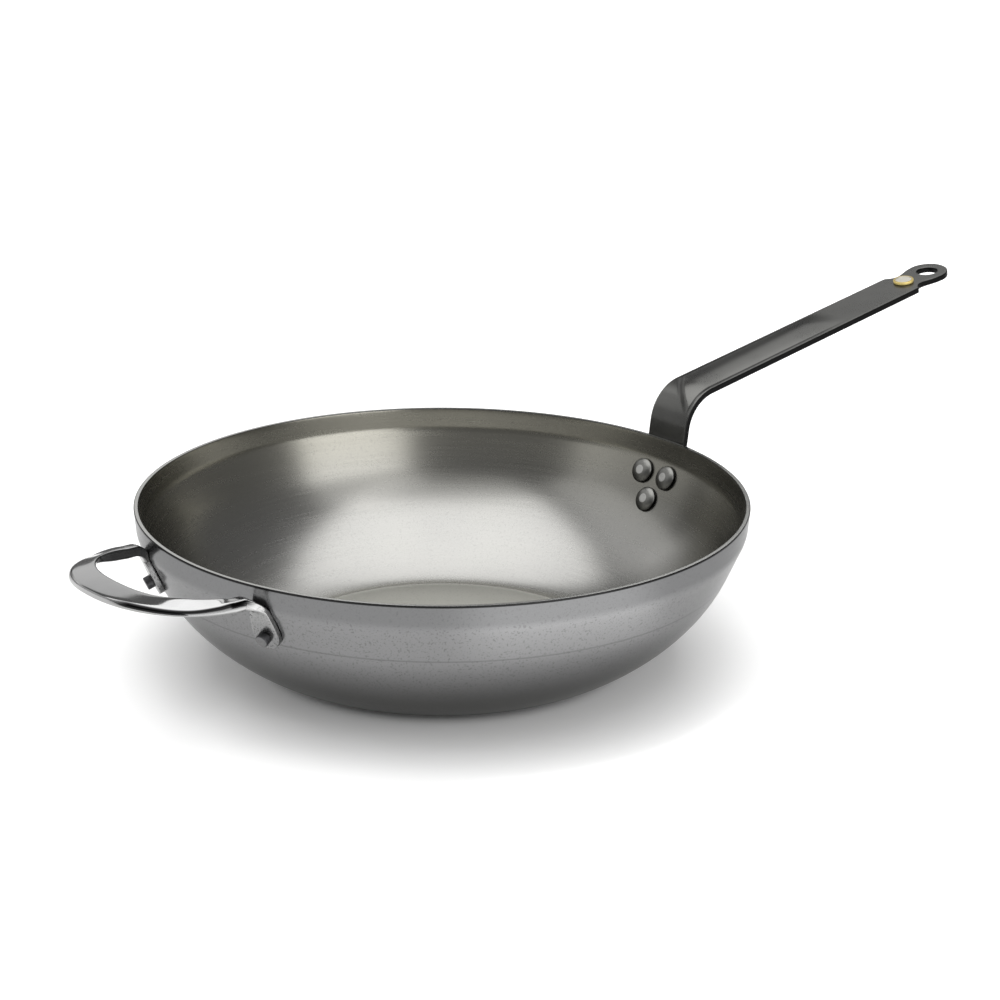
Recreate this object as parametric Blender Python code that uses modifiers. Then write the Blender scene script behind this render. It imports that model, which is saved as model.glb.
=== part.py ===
"""Deep carbon steel frying pan: a spun bowl, a riveted strap handle and a cast helper loop.

Metres, +Z up. The origin is the centre of the bowl's flat underside. +X runs along the strap
handle, and the helper loop stands opposite it, on -X.
"""

import math

import bmesh
import bpy
from mathutils import Matrix, Vector

# Clearances between touching pieces
SEAT_GAP = 0.0003
HOLE_CLEARANCE = 0.0003

# Bowl, with its collar and shoulder creases placed from the rim
RIM_RADIUS = 0.160
BOWL_HEIGHT = 0.085
WALL = 0.0025
COLLAR_DEPTH = 0.0126
COLLAR_INSET = 0.0010
SHOULDER_DEPTH = 0.0317
SHOULDER_INSET = 0.0094
BASE_RADIUS = 0.087
LOWER_WALL_PULL = 0.0356
BASE_BEND_PULL = 0.012
CREASE_BLEND = 0.0025
RIM_CHAMFER = 0.0004
BOWL_STEPS = 80
LOWER_WALL_POINTS = 10

# Strap handle, measured outwards from the rim
STRAP_THICKNESS = 0.0036
STRAP_HALF_WIDTH = 0.0141
STRAP_TAPER = 0.0005
STRAP_SLOPE = math.radians(10.2)
STRAP_LINE_RISE = 0.0248
STRAP_LEAN = math.radians(8.0)
STRAP_BEND_RADIUS = 0.0245
STRAP_RIM_STANDOFF = 0.0004
STRAP_BEND_STEPS = 12
STRAP_EDGE = 0.0004
EYE_REACH = 0.2184
EYE_RADIUS = 0.0122
HANG_HOLE_RADIUS = 0.00615
NECK_BACK = 0.0165
NECK_HALF_WIDTH = 0.0093
SHOULDER_BACK = 0.0230
EYE_MEET = math.radians(100.0)
EYE_STEPS = 24

# Rivets of the strap handle
RIVET_SHANK_RADIUS = 0.0027
RIVET_HEAD_RADIUS = 0.0070
RIVET_HEAD_HEIGHT = 0.0032
RIVET_HEAD_EDGE = 0.0004
RIVET_SPOT_RADIUS = 0.0023
RIVET_TAIL_RADIUS = 0.0034
RIVET_TAIL_LENGTH = 0.0030
RIVET_TAIL_CHAMFER = 0.0005
UPPER_RIVET_DEPTH = 0.0208
UPPER_RIVET_SIDE = 0.0095
LOWER_RIVET_DEPTH = 0.0344
FOOT_END_LENGTH = 0.0125
RIVET_STEPS = 24
DOME_POINTS = 5

# Medallion stud
STUD_BACK = 0.0210
STUD_RADIUS = 0.0060
STUD_HEIGHT = 0.0016
STUD_RING_WIDTH = 0.0014
STUD_RECESS = 0.0004
STUD_CHAMFER = 0.0003
STUD_SHANK_RADIUS = 0.0025
STUD_BUTTON_RADIUS = 0.0040
STUD_BUTTON_HEIGHT = 0.0008
STUD_STEPS = 32

# Helper loop: the two top edges of its bar are superellipses in plan, measured from the rim.
# The bar is low and wide in the grip, and narrow and tall in the arms.
LOOP_REACH = 0.0550
LOOP_HALF_WIDTH = 0.0513
LOOP_OUTER_POWER = 2.3
LOOP_INNER_POWER = 2.4
GRIP_WIDTH = 0.0158
ARM_WIDTH = 0.0073
ARM_END_REACH = 0.0025
LOOP_RISE = math.radians(6.3)
INNER_EDGE_DROP = 0.0002
GRIP_OUTER_FALL = 0.0025
ARM_OUTER_FALL = 0.0004
GRIP_OUTER_HEIGHT = 0.0038
ARM_OUTER_HEIGHT = 0.0056
GRIP_INNER_HEIGHT = 0.0030
ARM_INNER_HEIGHT = 0.0060
ARM_GROWTH_START = 0.0080
ARM_GROWTH_LENGTH = 0.0200
SHOULDER_GROWTH_START = 0.0240
SHOULDER_GROWTH_LENGTH = 0.0230
LOOP_END_ANGLE = math.radians(2.5)
LOOP_STATIONS = 14
LOOP_SIDES = 20
SECTION_POWER = 4.0

# Riveted pads of the helper loop
PAD_AZIMUTH = math.radians(18.3)
PAD_RIVET_DEPTH = 0.0252
PAD_HALF_WIDTH = 0.0074
PAD_THICKNESS = 0.0032
PAD_END_LENGTH = 0.0073
PAD_SEAT_SINK = 0.0004
PAD_BEND_RADIUS = 0.0062
PAD_BEND_STEPS = 5
HELPER_TAIL_LENGTH = 0.0036
SPOT_FACE_MARGIN = 0.0007
SPOT_FACE_DEPTH = 0.00015

CUT_MARGIN = 0.010
MERGE = 0.00001


def clear_scene():
    for old in list(bpy.data.objects):
        bpy.data.objects.remove(old, do_unlink=True)


def new_collection(name):
    collection = bpy.data.collections.new(name)
    bpy.context.scene.collection.children.link(collection)
    return collection


def material(name, colour, roughness, metallic):
    made = bpy.data.materials.new(name)
    made.use_nodes = True
    shader = made.node_tree.nodes["Principled BSDF"]
    shader.inputs["Base Color"].default_value = (*colour, 1.0)
    shader.inputs["Roughness"].default_value = roughness
    shader.inputs["Metallic"].default_value = metallic
    made.diffuse_color = (*colour, 1.0)
    return made


def add_object(name, mesh, collection, finish=None, matrix=None):
    made = bpy.data.objects.new(name, mesh)
    collection.objects.link(made)
    if finish:
        mesh.materials.append(finish)
    if matrix:
        made.matrix_world = matrix
    return made


def turned(name, profile, steps, collection, finish=None, matrix=None):
    """A profile of (radius, z) turned round its local Z, listed down its outer side."""
    mesh = bpy.data.meshes.new(name)
    points = [(radius, 0.0, z) for radius, z in profile]
    mesh.from_pydata(points, [(i, i + 1) for i in range(len(points) - 1)], [])
    made = add_object(name, mesh, collection, finish, matrix)
    screw = made.modifiers.new("turn", "SCREW")
    screw.angle = math.tau
    screw.steps = steps
    screw.render_steps = steps
    screw.use_merge_vertices = True
    screw.merge_threshold = MERGE
    screw.use_smooth_shade = True
    return made


def plate(name, outline, half_thickness, collection, finish=None, matrix=None):
    """A flat outline in local XY, extruded both ways along local Z, made a mesh."""
    curve = bpy.data.curves.new(name + "_outline", "CURVE")
    curve.dimensions = "2D"
    curve.fill_mode = "BOTH"
    curve.extrude = half_thickness
    spline = curve.splines.new("POLY")
    spline.points.add(len(outline) - 1)
    for point, (x, y) in zip(spline.points, outline):
        point.co = (x, y, 0.0, 1.0)
    spline.use_cyclic_u = True
    guide = bpy.data.objects.new(name + "_guide", curve)
    bpy.context.scene.collection.objects.link(guide)
    graph = bpy.context.evaluated_depsgraph_get()
    mesh = bpy.data.meshes.new_from_object(guide.evaluated_get(graph))
    bpy.data.objects.remove(guide, do_unlink=True)
    weld(mesh)
    return add_object(name, mesh, collection, finish, matrix)


def weld(mesh):
    work = bmesh.new()
    work.from_mesh(mesh)
    bmesh.ops.remove_doubles(work, verts=work.verts, dist=MERGE)
    bmesh.ops.recalc_face_normals(work, faces=work.faces)
    work.to_mesh(mesh)
    work.free()


def boolean(target, other, operation, label):
    step = target.modifiers.new(label, "BOOLEAN")
    step.operation = operation
    step.solver = "EXACT"
    step.object = other


def as_cutter(obj):
    obj.hide_render = True
    obj.display_type = "WIRE"
    return obj


def settle(obj):
    """Puts the finished shape in the object's own mesh and marks its sharp edges."""
    graph = bpy.context.evaluated_depsgraph_get()
    mesh = bpy.data.meshes.new_from_object(obj.evaluated_get(graph))
    obj.modifiers.clear()
    obj.data = mesh
    mesh.name = obj.name
    mesh.shade_smooth()
    mesh.set_sharp_from_angle(angle=math.radians(28.0))


def offset_line(points, distance, last_normal=None):
    """The line moved sideways, to the right of its direction, with mitred corners."""
    normals = []
    for (x0, z0), (x1, z1) in zip(points, points[1:]):
        length = math.hypot(x1 - x0, z1 - z0)
        normals.append(((z1 - z0) / length, -(x1 - x0) / length))
    moved = []
    for i, (x, z) in enumerate(points):
        before = normals[max(i - 1, 0)]
        after = normals[min(i, len(normals) - 1)]
        if i == len(points) - 1 and last_normal:
            before = after = last_normal
        mx, mz = before[0] + after[0], before[1] + after[1]
        scale = 2.0 * distance / (mx * mx + mz * mz)
        moved.append((x + mx * scale, z + mz * scale))
    return moved


def wall_line():
    """The bowl's outer wall as (radius, z), from the rim down to the edge of the flat base."""
    rim = (RIM_RADIUS, BOWL_HEIGHT)
    collar = (RIM_RADIUS - COLLAR_INSET, BOWL_HEIGHT - COLLAR_DEPTH)
    shoulder = (RIM_RADIUS - SHOULDER_INSET, BOWL_HEIGHT - SHOULDER_DEPTH)
    up = unit(rim, collar)
    down = unit(shoulder, collar)
    start = (collar[0] + up[0] * CREASE_BLEND, collar[1] + up[1] * CREASE_BLEND)
    end = (collar[0] + down[0] * CREASE_BLEND, collar[1] + down[1] * CREASE_BLEND)
    middle = (
        0.25 * start[0] + 0.5 * collar[0] + 0.25 * end[0],
        0.25 * start[1] + 0.5 * collar[1] + 0.25 * end[1],
    )
    pull = (shoulder[0] + down[0] * LOWER_WALL_PULL, shoulder[1] + down[1] * LOWER_WALL_PULL)
    base_edge = (BASE_RADIUS, 0.0)
    base_pull = (BASE_RADIUS + BASE_BEND_PULL, 0.0)
    line = [rim, start, middle, end]
    for i in range(LOWER_WALL_POINTS + 1):
        t = i / LOWER_WALL_POINTS
        weights = ((1 - t) ** 3, 3 * t * (1 - t) ** 2, 3 * t * t * (1 - t), t**3)
        corners = (shoulder, pull, base_pull, base_edge)
        line.append(
            tuple(sum(w * c[k] for w, c in zip(weights, corners)) for k in range(2))
        )
    return line


def unit(to, origin):
    dx, dz = to[0] - origin[0], to[1] - origin[1]
    length = math.hypot(dx, dz)
    return dx / length, dz / length


def offset_wall(distance):
    """The wall line moved outwards, its first point kept at the height of the rim."""
    moved = offset_line(wall_line(), -distance, (0.0, 1.0))
    (x0, z0), (x1, z1) = moved[:2]
    slope = (x1 - x0) / (z1 - z0)
    moved[0] = (x0 + slope * (BOWL_HEIGHT - z0), BOWL_HEIGHT)
    return moved


def wall_at(depth):
    """Radius of the outer wall and its lean from the vertical, at a depth below the rim."""
    line = wall_line()
    z = BOWL_HEIGHT - depth
    for (r0, z0), (r1, z1) in zip(line, line[1:]):
        if z1 <= z <= z0:
            share = (z0 - z) / (z0 - z1)
            return r0 + (r1 - r0) * share, math.atan2(r0 - r1, z0 - z1)
    raise ValueError("the depth is below the wall")


def wall_frame(depth, azimuth):
    """A frame on the outer wall: local X runs down the wall, local Z points out of it."""
    radius, lean = wall_at(depth)
    outward = Vector((math.cos(lean), 0.0, -math.sin(lean)))
    sideways = Vector((0.0, 1.0, 0.0))
    downward = sideways.cross(outward)
    frame = Matrix((downward, sideways, outward)).transposed().to_4x4()
    frame.translation = Vector((radius, 0.0, BOWL_HEIGHT - depth))
    return Matrix.Rotation(azimuth, 4, "Z") @ frame


def strap_frame(back=0.0):
    """The plane of the strap's straight top face at that distance back from the eye's centre."""
    eye = RIM_RADIUS + EYE_REACH * math.cos(STRAP_SLOPE)
    frame = Matrix.Rotation(-STRAP_SLOPE, 4, "Y")
    frame.translation = Vector((eye, 0.0, strap_line_height(eye)))
    return frame @ Matrix.Translation((-back, 0.0, 0.0))


def strap_line_height(x):
    """Height of the strap's straight top face."""
    return BOWL_HEIGHT + STRAP_LINE_RISE + math.tan(STRAP_SLOPE) * (x - RIM_RADIUS)


def make_bowl(collection, finish):
    outer = offset_wall(0.0)
    inner = offset_wall(-WALL)
    rim_in = inner[0][0]
    profile = [(0.0, WALL)]
    profile += list(reversed(inner[1:]))
    profile += [
        (rim_in, BOWL_HEIGHT - RIM_CHAMFER),
        (rim_in + RIM_CHAMFER, BOWL_HEIGHT),
        (RIM_RADIUS - RIM_CHAMFER, BOWL_HEIGHT),
        (RIM_RADIUS, BOWL_HEIGHT - RIM_CHAMFER),
    ]
    profile += outer[1:]
    profile += [(0.0, 0.0)]
    return turned("pan_body", profile, BOWL_STEPS, collection, finish)


def make_seat(collection):
    """A solid of the bowl's outside grown by the seat gap, for cutting what lies against it."""
    grown = offset_wall(SEAT_GAP)
    top = BOWL_HEIGHT + STRAP_RIM_STANDOFF
    profile = [(0.0, top), (grown[0][0], top)] + grown + [(0.0, -SEAT_GAP)]
    return as_cutter(turned("seat_envelope", profile, BOWL_STEPS, collection))


def strap_crown():
    """How far the wall falls away from a flat strap at the strap's edge."""
    radius = wall_at(UPPER_RIVET_DEPTH)[0]
    return radius - math.sqrt(radius**2 - STRAP_HALF_WIDTH**2)


def strap_face():
    """The strap's face that looks at the bowl and then up, as (x, z) from its foot to its end."""
    low = BOWL_HEIGHT - LOWER_RIVET_DEPTH - FOOT_END_LENGTH - CUT_MARGIN
    high = BOWL_HEIGHT - 0.5 * COLLAR_DEPTH
    seat = [p for p in offset_wall(SEAT_GAP - strap_crown()) if low < p[1] < high]
    seat.reverse()
    rim = (RIM_RADIUS + STRAP_RIM_STANDOFF, BOWL_HEIGHT)
    steep = math.pi / 2 - STRAP_LEAN
    radius = STRAP_BEND_RADIUS
    run = radius * (math.sin(steep) - math.sin(STRAP_SLOPE))
    climb = radius * (math.cos(STRAP_SLOPE) - math.cos(steep))
    # The bend starts as far up the steep part as makes it end on the straight part's line.
    short = strap_line_height(rim[0] + run) - climb - rim[1]
    rise = short / (math.sin(steep) - math.tan(STRAP_SLOPE) * math.cos(steep))
    start = (rim[0] + rise * math.cos(steep), rim[1] + rise * math.sin(steep))
    bend = []
    for i in range(STRAP_BEND_STEPS + 1):
        angle = steep + (STRAP_SLOPE - steep) * i / STRAP_BEND_STEPS
        across = radius * (math.sin(steep) - math.sin(angle))
        bend.append((start[0] + across, start[1] + radius * (math.cos(angle) - math.cos(steep))))
    end = RIM_RADIUS + (EYE_REACH + EYE_RADIUS + CUT_MARGIN) * math.cos(STRAP_SLOPE)
    return seat + [rim] + bend + [(end, strap_line_height(end))]


def strap_outline():
    """Half-width along the strap, as (distance from the eye's centre, half-width)."""
    wide = STRAP_HALF_WIDTH - STRAP_TAPER
    step = wide - NECK_HALF_WIDTH
    run = SHOULDER_BACK - NECK_BACK
    half = [(-EYE_REACH - RIM_RADIUS, STRAP_HALF_WIDTH), (-EYE_REACH, STRAP_HALF_WIDTH)]
    # The shoulder drops steeply at first and runs out along the neck.
    for share, drop in ((0.0, 0.0), (0.12, 0.25), (0.34, 0.58), (0.65, 0.88), (1.0, 1.0)):
        half.append((-SHOULDER_BACK + run * share, wide - step * drop))
    # From the neck the sides swell back to meet the eye's circle a little before its middle.
    meet_at = (EYE_RADIUS * math.cos(EYE_MEET), EYE_RADIUS * math.sin(EYE_MEET))
    for share in (0.25, 0.5, 0.75):
        ease = 0.5 - 0.5 * math.cos(math.pi * share)
        x = -NECK_BACK + (meet_at[0] + NECK_BACK) * share
        half.append((x, NECK_HALF_WIDTH + (meet_at[1] - NECK_HALF_WIDTH) * ease))
    for i in range(EYE_STEPS // 2 + 1):
        angle = EYE_MEET * (1.0 - i / (EYE_STEPS // 2))
        half.append((EYE_RADIUS * math.cos(angle), EYE_RADIUS * math.sin(angle)))
    return half + [(x, -y) for x, y in reversed(half[:-1])]


def make_strap(collection, cutters, seat, finish):
    face = strap_face()
    back = offset_line(face, STRAP_THICKNESS)
    upright = Matrix.Rotation(math.pi / 2, 4, "X")
    strap = plate(
        "long_handle",
        face + back[::-1],
        STRAP_HALF_WIDTH + CUT_MARGIN,
        collection,
        finish,
        upright,
    )
    deep = BOWL_HEIGHT + STRAP_LINE_RISE
    plan = plate("strap_plan", strap_outline(), deep, cutters, None, strap_frame())
    boolean(strap, as_cutter(plan), "INTERSECT", "plan")
    foot_frame = wall_frame(LOWER_RIVET_DEPTH, 0.0)
    side = STRAP_HALF_WIDTH + CUT_MARGIN
    wide = STRAP_HALF_WIDTH + STRAP_EDGE
    reach = FOOT_END_LENGTH + 3.0 * CUT_MARGIN
    end = [(0.0, side), (reach, side), (reach, -side), (0.0, -side)]
    for i in range(17):
        angle = math.pi * (i / 16 - 0.5)
        end.append((FOOT_END_LENGTH * math.cos(angle), wide * math.sin(angle)))
    foot = plate("foot_end", end, STRAP_THICKNESS + CUT_MARGIN, cutters, None, foot_frame)
    boolean(strap, as_cutter(foot), "DIFFERENCE", "foot end")
    edge = strap.modifiers.new("broken edges", "BEVEL")
    edge.width = STRAP_EDGE
    edge.segments = 1
    edge.limit_method = "ANGLE"
    edge.angle_limit = math.radians(60.0)
    boolean(strap, seat, "DIFFERENCE", "seat")
    across = STRAP_THICKNESS + CUT_MARGIN
    for name, back, radius in (
        ("hang_hole", 0.0, HANG_HOLE_RADIUS),
        ("stud_hole", STUD_BACK, STUD_SHANK_RADIUS + HOLE_CLEARANCE),
    ):
        profile = [(0.0, CUT_MARGIN), (radius, CUT_MARGIN), (radius, -across), (0.0, -across)]
        hole = as_cutter(turned(name, profile, STUD_STEPS, cutters, None, strap_frame(back)))
        boolean(strap, hole, "DIFFERENCE", name)
    return strap


def strap_rivet_places():
    """(name, depth, azimuth, height of the strap's back over the wall) for each rivet."""
    lift = SEAT_GAP - strap_crown() + STRAP_THICKNESS
    places = []
    radius = wall_at(UPPER_RIVET_DEPTH)[0]
    for name, side in (("handle_rivet_1", -1.0), ("handle_rivet_2", 1.0)):
        azimuth = math.asin(UPPER_RIVET_SIDE / radius)
        fall = radius * (1.0 - math.cos(azimuth))
        tilt = RIVET_TAIL_RADIUS * math.sin(azimuth)
        places.append((name, UPPER_RIVET_DEPTH, side * azimuth, lift + fall + tilt))
    places.append(("handle_rivet_3", LOWER_RIVET_DEPTH, 0.0, lift + 0.0001))
    return places


def rivet_profile(stack, tail_length):
    """A domed head inside the bowl, a shank, and a tail beyond a stack of that height."""
    radius = wall_at(UPPER_RIVET_DEPTH)[0] - WALL
    hollow = radius - math.sqrt(radius**2 - RIVET_HEAD_RADIUS**2)
    under = -WALL - SEAT_GAP - hollow
    tail = stack + SEAT_GAP
    profile = [
        (0.0, tail + tail_length),
        (RIVET_TAIL_RADIUS - RIVET_TAIL_CHAMFER, tail + tail_length),
        (RIVET_TAIL_RADIUS, tail + tail_length - RIVET_TAIL_CHAMFER),
        (RIVET_TAIL_RADIUS, tail),
        (RIVET_SHANK_RADIUS, tail),
        (RIVET_SHANK_RADIUS, under),
        (RIVET_HEAD_RADIUS, under),
    ]
    dome = RIVET_HEAD_HEIGHT - RIVET_HEAD_EDGE
    last = math.acos(RIVET_SPOT_RADIUS / RIVET_HEAD_RADIUS)
    for i in range(DOME_POINTS + 1):
        angle = last * i / DOME_POINTS
        height = dome * math.sin(angle) / math.sin(last)
        profile.append((RIVET_HEAD_RADIUS * math.cos(angle), under - RIVET_HEAD_EDGE - height))
    profile.append((0.0, under - RIVET_HEAD_HEIGHT))
    return profile


def make_rivet(name, depth, azimuth, stack, tail_length, collection, finish):
    profile = rivet_profile(stack, tail_length)
    return turned(
        name, profile, RIVET_STEPS, collection, finish, wall_frame(depth, azimuth)
    )


def make_rivet_hole(name, depth, azimuth, collection, spot=None):
    """A cutter for a rivet's shank. A spot face, if any, is a wider bore from that height up."""
    radius = RIVET_SHANK_RADIUS + HOLE_CLEARANCE
    profile = [(radius, -CUT_MARGIN), (0.0, -CUT_MARGIN)]
    if spot:
        wide = RIVET_TAIL_RADIUS + SPOT_FACE_MARGIN
        profile = [(wide, CUT_MARGIN + spot), (wide, spot), (radius, spot)] + profile
        profile = [(0.0, CUT_MARGIN + spot)] + profile
    else:
        profile = [(0.0, CUT_MARGIN), (radius, CUT_MARGIN)] + profile
    frame = wall_frame(depth, azimuth)
    return as_cutter(turned(name, profile, RIVET_STEPS, collection, None, frame))


def make_stud(collection, finish):
    """A round medallion with a plain recessed face, held by a shank and a flat button."""
    low = -STRAP_THICKNESS - SEAT_GAP
    top = SEAT_GAP + STUD_HEIGHT
    ring_in = STUD_RADIUS - STUD_CHAMFER - STUD_RING_WIDTH
    profile = [
        (0.0, top - STUD_RECESS),
        (ring_in - STUD_CHAMFER, top - STUD_RECESS),
        (ring_in, top),
        (STUD_RADIUS - STUD_CHAMFER, top),
        (STUD_RADIUS, top - STUD_CHAMFER),
        (STUD_RADIUS, SEAT_GAP),
        (STUD_SHANK_RADIUS, SEAT_GAP),
        (STUD_SHANK_RADIUS, low),
        (STUD_BUTTON_RADIUS, low),
        (STUD_BUTTON_RADIUS, low - STUD_BUTTON_HEIGHT + STUD_CHAMFER),
        (STUD_BUTTON_RADIUS - STUD_CHAMFER, low - STUD_BUTTON_HEIGHT),
        (0.0, low - STUD_BUTTON_HEIGHT),
    ]
    return turned("medallion", profile, STUD_STEPS, collection, finish, strap_frame(STUD_BACK))


def smooth_step(share):
    share = min(max(share, 0.0), 1.0)
    return share * share * (3.0 - 2.0 * share)


def loop_edge(angle, reach, half_width, power):
    """A point of one of the bar's top edges in plan: angle 90 degrees is the loop's far middle."""
    end = RIM_RADIUS + ARM_END_REACH
    across = half_width * abs(math.cos(angle)) ** (2.0 / power)
    along = end + (reach - end) * math.sin(angle) ** (2.0 / power)
    return Vector((-along, across, 0.0))


def loop_stations():
    """The bar's corners (outer top, inner top, outer bottom, inner bottom) along half of the
    loop, from the middle of the grip round to the arm."""
    reach = RIM_RADIUS + LOOP_REACH
    inner_reach = reach - GRIP_WIDTH
    stations = []
    for i in range(LOOP_STATIONS + 1):
        angle = math.pi / 2 + (LOOP_END_ANGLE - math.pi / 2) * i / LOOP_STATIONS
        outer = loop_edge(angle, reach, LOOP_HALF_WIDTH, LOOP_OUTER_POWER)
        inner = loop_edge(angle, inner_reach, LOOP_HALF_WIDTH - ARM_WIDTH, LOOP_INNER_POWER)
        if i == 0:
            outer.y = inner.y = 0.0
        grow = smooth_step((inner_reach + inner.x - ARM_GROWTH_START) / ARM_GROWTH_LENGTH)
        late = smooth_step((reach + outer.x - SHOULDER_GROWTH_START) / SHOULDER_GROWTH_LENGTH)
        for edge in (outer, inner):
            sunk = math.tan(LOOP_RISE) * (inner_reach + edge.x)
            edge.z = BOWL_HEIGHT - INNER_EDGE_DROP - sunk
        outer.z -= GRIP_OUTER_FALL + (ARM_OUTER_FALL - GRIP_OUTER_FALL) * late
        outer_height = GRIP_OUTER_HEIGHT + (ARM_OUTER_HEIGHT - GRIP_OUTER_HEIGHT) * late
        inner_height = GRIP_INNER_HEIGHT + (ARM_INNER_HEIGHT - GRIP_INNER_HEIGHT) * grow
        down = Vector((0.0, 0.0, -1.0))
        stations.append((outer, inner, outer + down * outer_height, inner + down * inner_height))
    return stations


def pad_half_width(depth, level, arm_half):
    """It grows from the arm's at that level down to the rivet, and past it the end is round."""
    if depth > PAD_RIVET_DEPTH:
        share = (depth - PAD_RIVET_DEPTH) / PAD_END_LENGTH
        return PAD_HALF_WIDTH * math.sqrt(1.0 - share * share)
    spread = (depth - level) / (PAD_RIVET_DEPTH - level)
    return arm_half + (PAD_HALF_WIDTH - arm_half) * math.sin(math.pi / 2 * spread)


def pad_stations(arm):
    """The stations that bend the arm down the wall into its round-ended riveted pad."""
    start = sum(arm, Vector()) / 4.0
    width = (arm[0] + arm[2] - arm[1] - arm[3]).normalized()
    arm_half = (arm[0] - arm[1]).length / 2.0
    arm_thick = (arm[0] - arm[2]).length / 2.0
    lift = (PAD_THICKNESS - PAD_SEAT_SINK) / 2.0
    thick = (PAD_THICKNESS + PAD_SEAT_SINK) / 2.0
    level = BOWL_HEIGHT - start.z
    pad_lean = wall_at(PAD_RIVET_DEPTH)[1]
    pad_across = (wall_at(level + PAD_BEND_RADIUS)[0] + lift) * math.sin(PAD_AZIMUTH)
    rows = []
    for i in range(PAD_BEND_STEPS + 1):
        share = i / PAD_BEND_STEPS
        depth = level + PAD_BEND_RADIUS * (1.0 - math.cos(math.pi / 2 * share))
        over = lift + PAD_BEND_RADIUS * (1.0 - math.sin(math.pi / 2 * share))
        rows.append((depth, over, arm_thick + (thick - arm_thick) * share, share))
    bend_end = level + PAD_BEND_RADIUS
    for share in (0.35, 0.7, 1.0):
        rows.append((bend_end + (PAD_RIVET_DEPTH - bend_end) * share, lift, thick, 1.0))
    for share in (0.4, 0.7, 0.9, 0.99):
        rows.append((PAD_RIVET_DEPTH + PAD_END_LENGTH * share, lift, thick, 1.0))
    centres = [start]
    hints = []
    for depth, over, _, share in rows:
        # The bend runs on in the arm's line, and comes to the pad's azimuth at its end.
        wall = wall_at(depth)[0]
        beside = start.y + (pad_across - start.y) * share
        azimuth = math.asin(beside / (wall + over)) if share < 1.0 else PAD_AZIMUTH
        radial = Vector((-math.cos(azimuth), math.sin(azimuth), 0.0))
        sideways = Vector((math.sin(azimuth), math.cos(azimuth), 0.0))
        lean = pad_lean * share
        outward = radial * math.cos(lean) - Vector((0, 0, math.sin(lean)))
        foot = radial * wall + Vector((0, 0, BOWL_HEIGHT - depth))
        centres.append(foot + outward * over)
        hints.append(width.lerp(sideways, share))
    centres.append(centres[-1])
    stations = []
    for k, (depth, _, tall, _) in enumerate(rows):
        ahead = (centres[k + 2] - centres[k]).normalized()
        across = (hints[k] - ahead * hints[k].dot(ahead)).normalized()
        upward = ahead.cross(across) * tall
        side = across * pad_half_width(depth, level, arm_half)
        centre = centres[k + 1]
        stations.append([centre + side * x + upward * y for y in (1, -1) for x in (1, -1)])
    return stations


def make_helper(collection, finish):
    """The helper loop: half of it lofted from the grip to the pad, then mirrored."""
    stations = loop_stations()
    stations += pad_stations(stations[-1])
    work = bmesh.new()
    rings = []
    for outer_top, inner_top, outer_low, inner_low in stations:
        ring = []
        for i in range(LOOP_SIDES):
            angle = math.tau * (i + 0.5) / LOOP_SIDES
            c, s = math.cos(angle), math.sin(angle)
            x = 0.5 + 0.5 * math.copysign(abs(c) ** (2.0 / SECTION_POWER), c)
            y = 0.5 + 0.5 * math.copysign(abs(s) ** (2.0 / SECTION_POWER), s)
            top = inner_top.lerp(outer_top, x)
            low = inner_low.lerp(outer_low, x)
            ring.append(work.verts.new(low.lerp(top, y)))
        rings.append(ring)
    for first, second in zip(rings, rings[1:]):
        for i in range(LOOP_SIDES):
            j = (i + 1) % LOOP_SIDES
            work.faces.new((first[i], first[j], second[j], second[i]))
    work.faces.new(rings[-1])
    bmesh.ops.recalc_face_normals(work, faces=work.faces)
    mesh = bpy.data.meshes.new("helper_handle")
    work.to_mesh(mesh)
    work.free()
    helper = add_object("helper_handle", mesh, collection, finish)
    mirror = helper.modifiers.new("other half", "MIRROR")
    mirror.use_axis = (False, True, False)
    mirror.use_clip = True
    mirror.merge_threshold = MERGE
    return helper


def build():
    clear_scene()
    pan = new_collection("carbon_steel_frying_pan")
    cutters = new_collection("cutters")
    bare_steel = material("bare_carbon_steel", (0.42, 0.42, 0.41), 0.36, 1.0)
    strap_steel = material("coated_strap_steel", (0.14, 0.14, 0.135), 0.38, 0.9)
    rivet_steel = material("rivet_steel", (0.20, 0.20, 0.19), 0.32, 1.0)
    polished = material("polished_cast_steel", (0.72, 0.72, 0.71), 0.12, 1.0)
    tail_steel = material("dark_rivet_tail", (0.07, 0.07, 0.07), 0.45, 0.9)
    brass = material("medallion_brass", (0.66, 0.52, 0.24), 0.30, 1.0)

    bowl = make_bowl(pan, bare_steel)
    seat = make_seat(cutters)
    strap = make_strap(pan, cutters, seat, strap_steel)
    stud = make_stud(pan, brass)
    helper = make_helper(pan, polished)
    boolean(helper, seat, "DIFFERENCE", "seat")

    rivets = []
    for name, depth, azimuth, stack in strap_rivet_places():
        hole = make_rivet_hole(name + "_hole", depth, azimuth, cutters)
        boolean(bowl, hole, "DIFFERENCE", name)
        boolean(strap, hole, "DIFFERENCE", name)
        rivets.append(
            make_rivet(name, depth, azimuth, stack, RIVET_TAIL_LENGTH, pan, rivet_steel)
        )
    face = PAD_THICKNESS - SPOT_FACE_DEPTH
    for name, side in (("helper_rivet_1", -1.0), ("helper_rivet_2", 1.0)):
        azimuth = math.pi + side * PAD_AZIMUTH
        hole = make_rivet_hole(name + "_hole", PAD_RIVET_DEPTH, azimuth, cutters, face)
        boolean(bowl, hole, "DIFFERENCE", name)
        boolean(helper, hole, "DIFFERENCE", name)
        rivets.append(
            make_rivet(
                name, PAD_RIVET_DEPTH, azimuth, face, HELPER_TAIL_LENGTH, pan, tail_steel
            )
        )
    bpy.context.view_layer.update()
    for piece in [bowl, strap, stud, helper] + rivets:
        settle(piece)


build()
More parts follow.
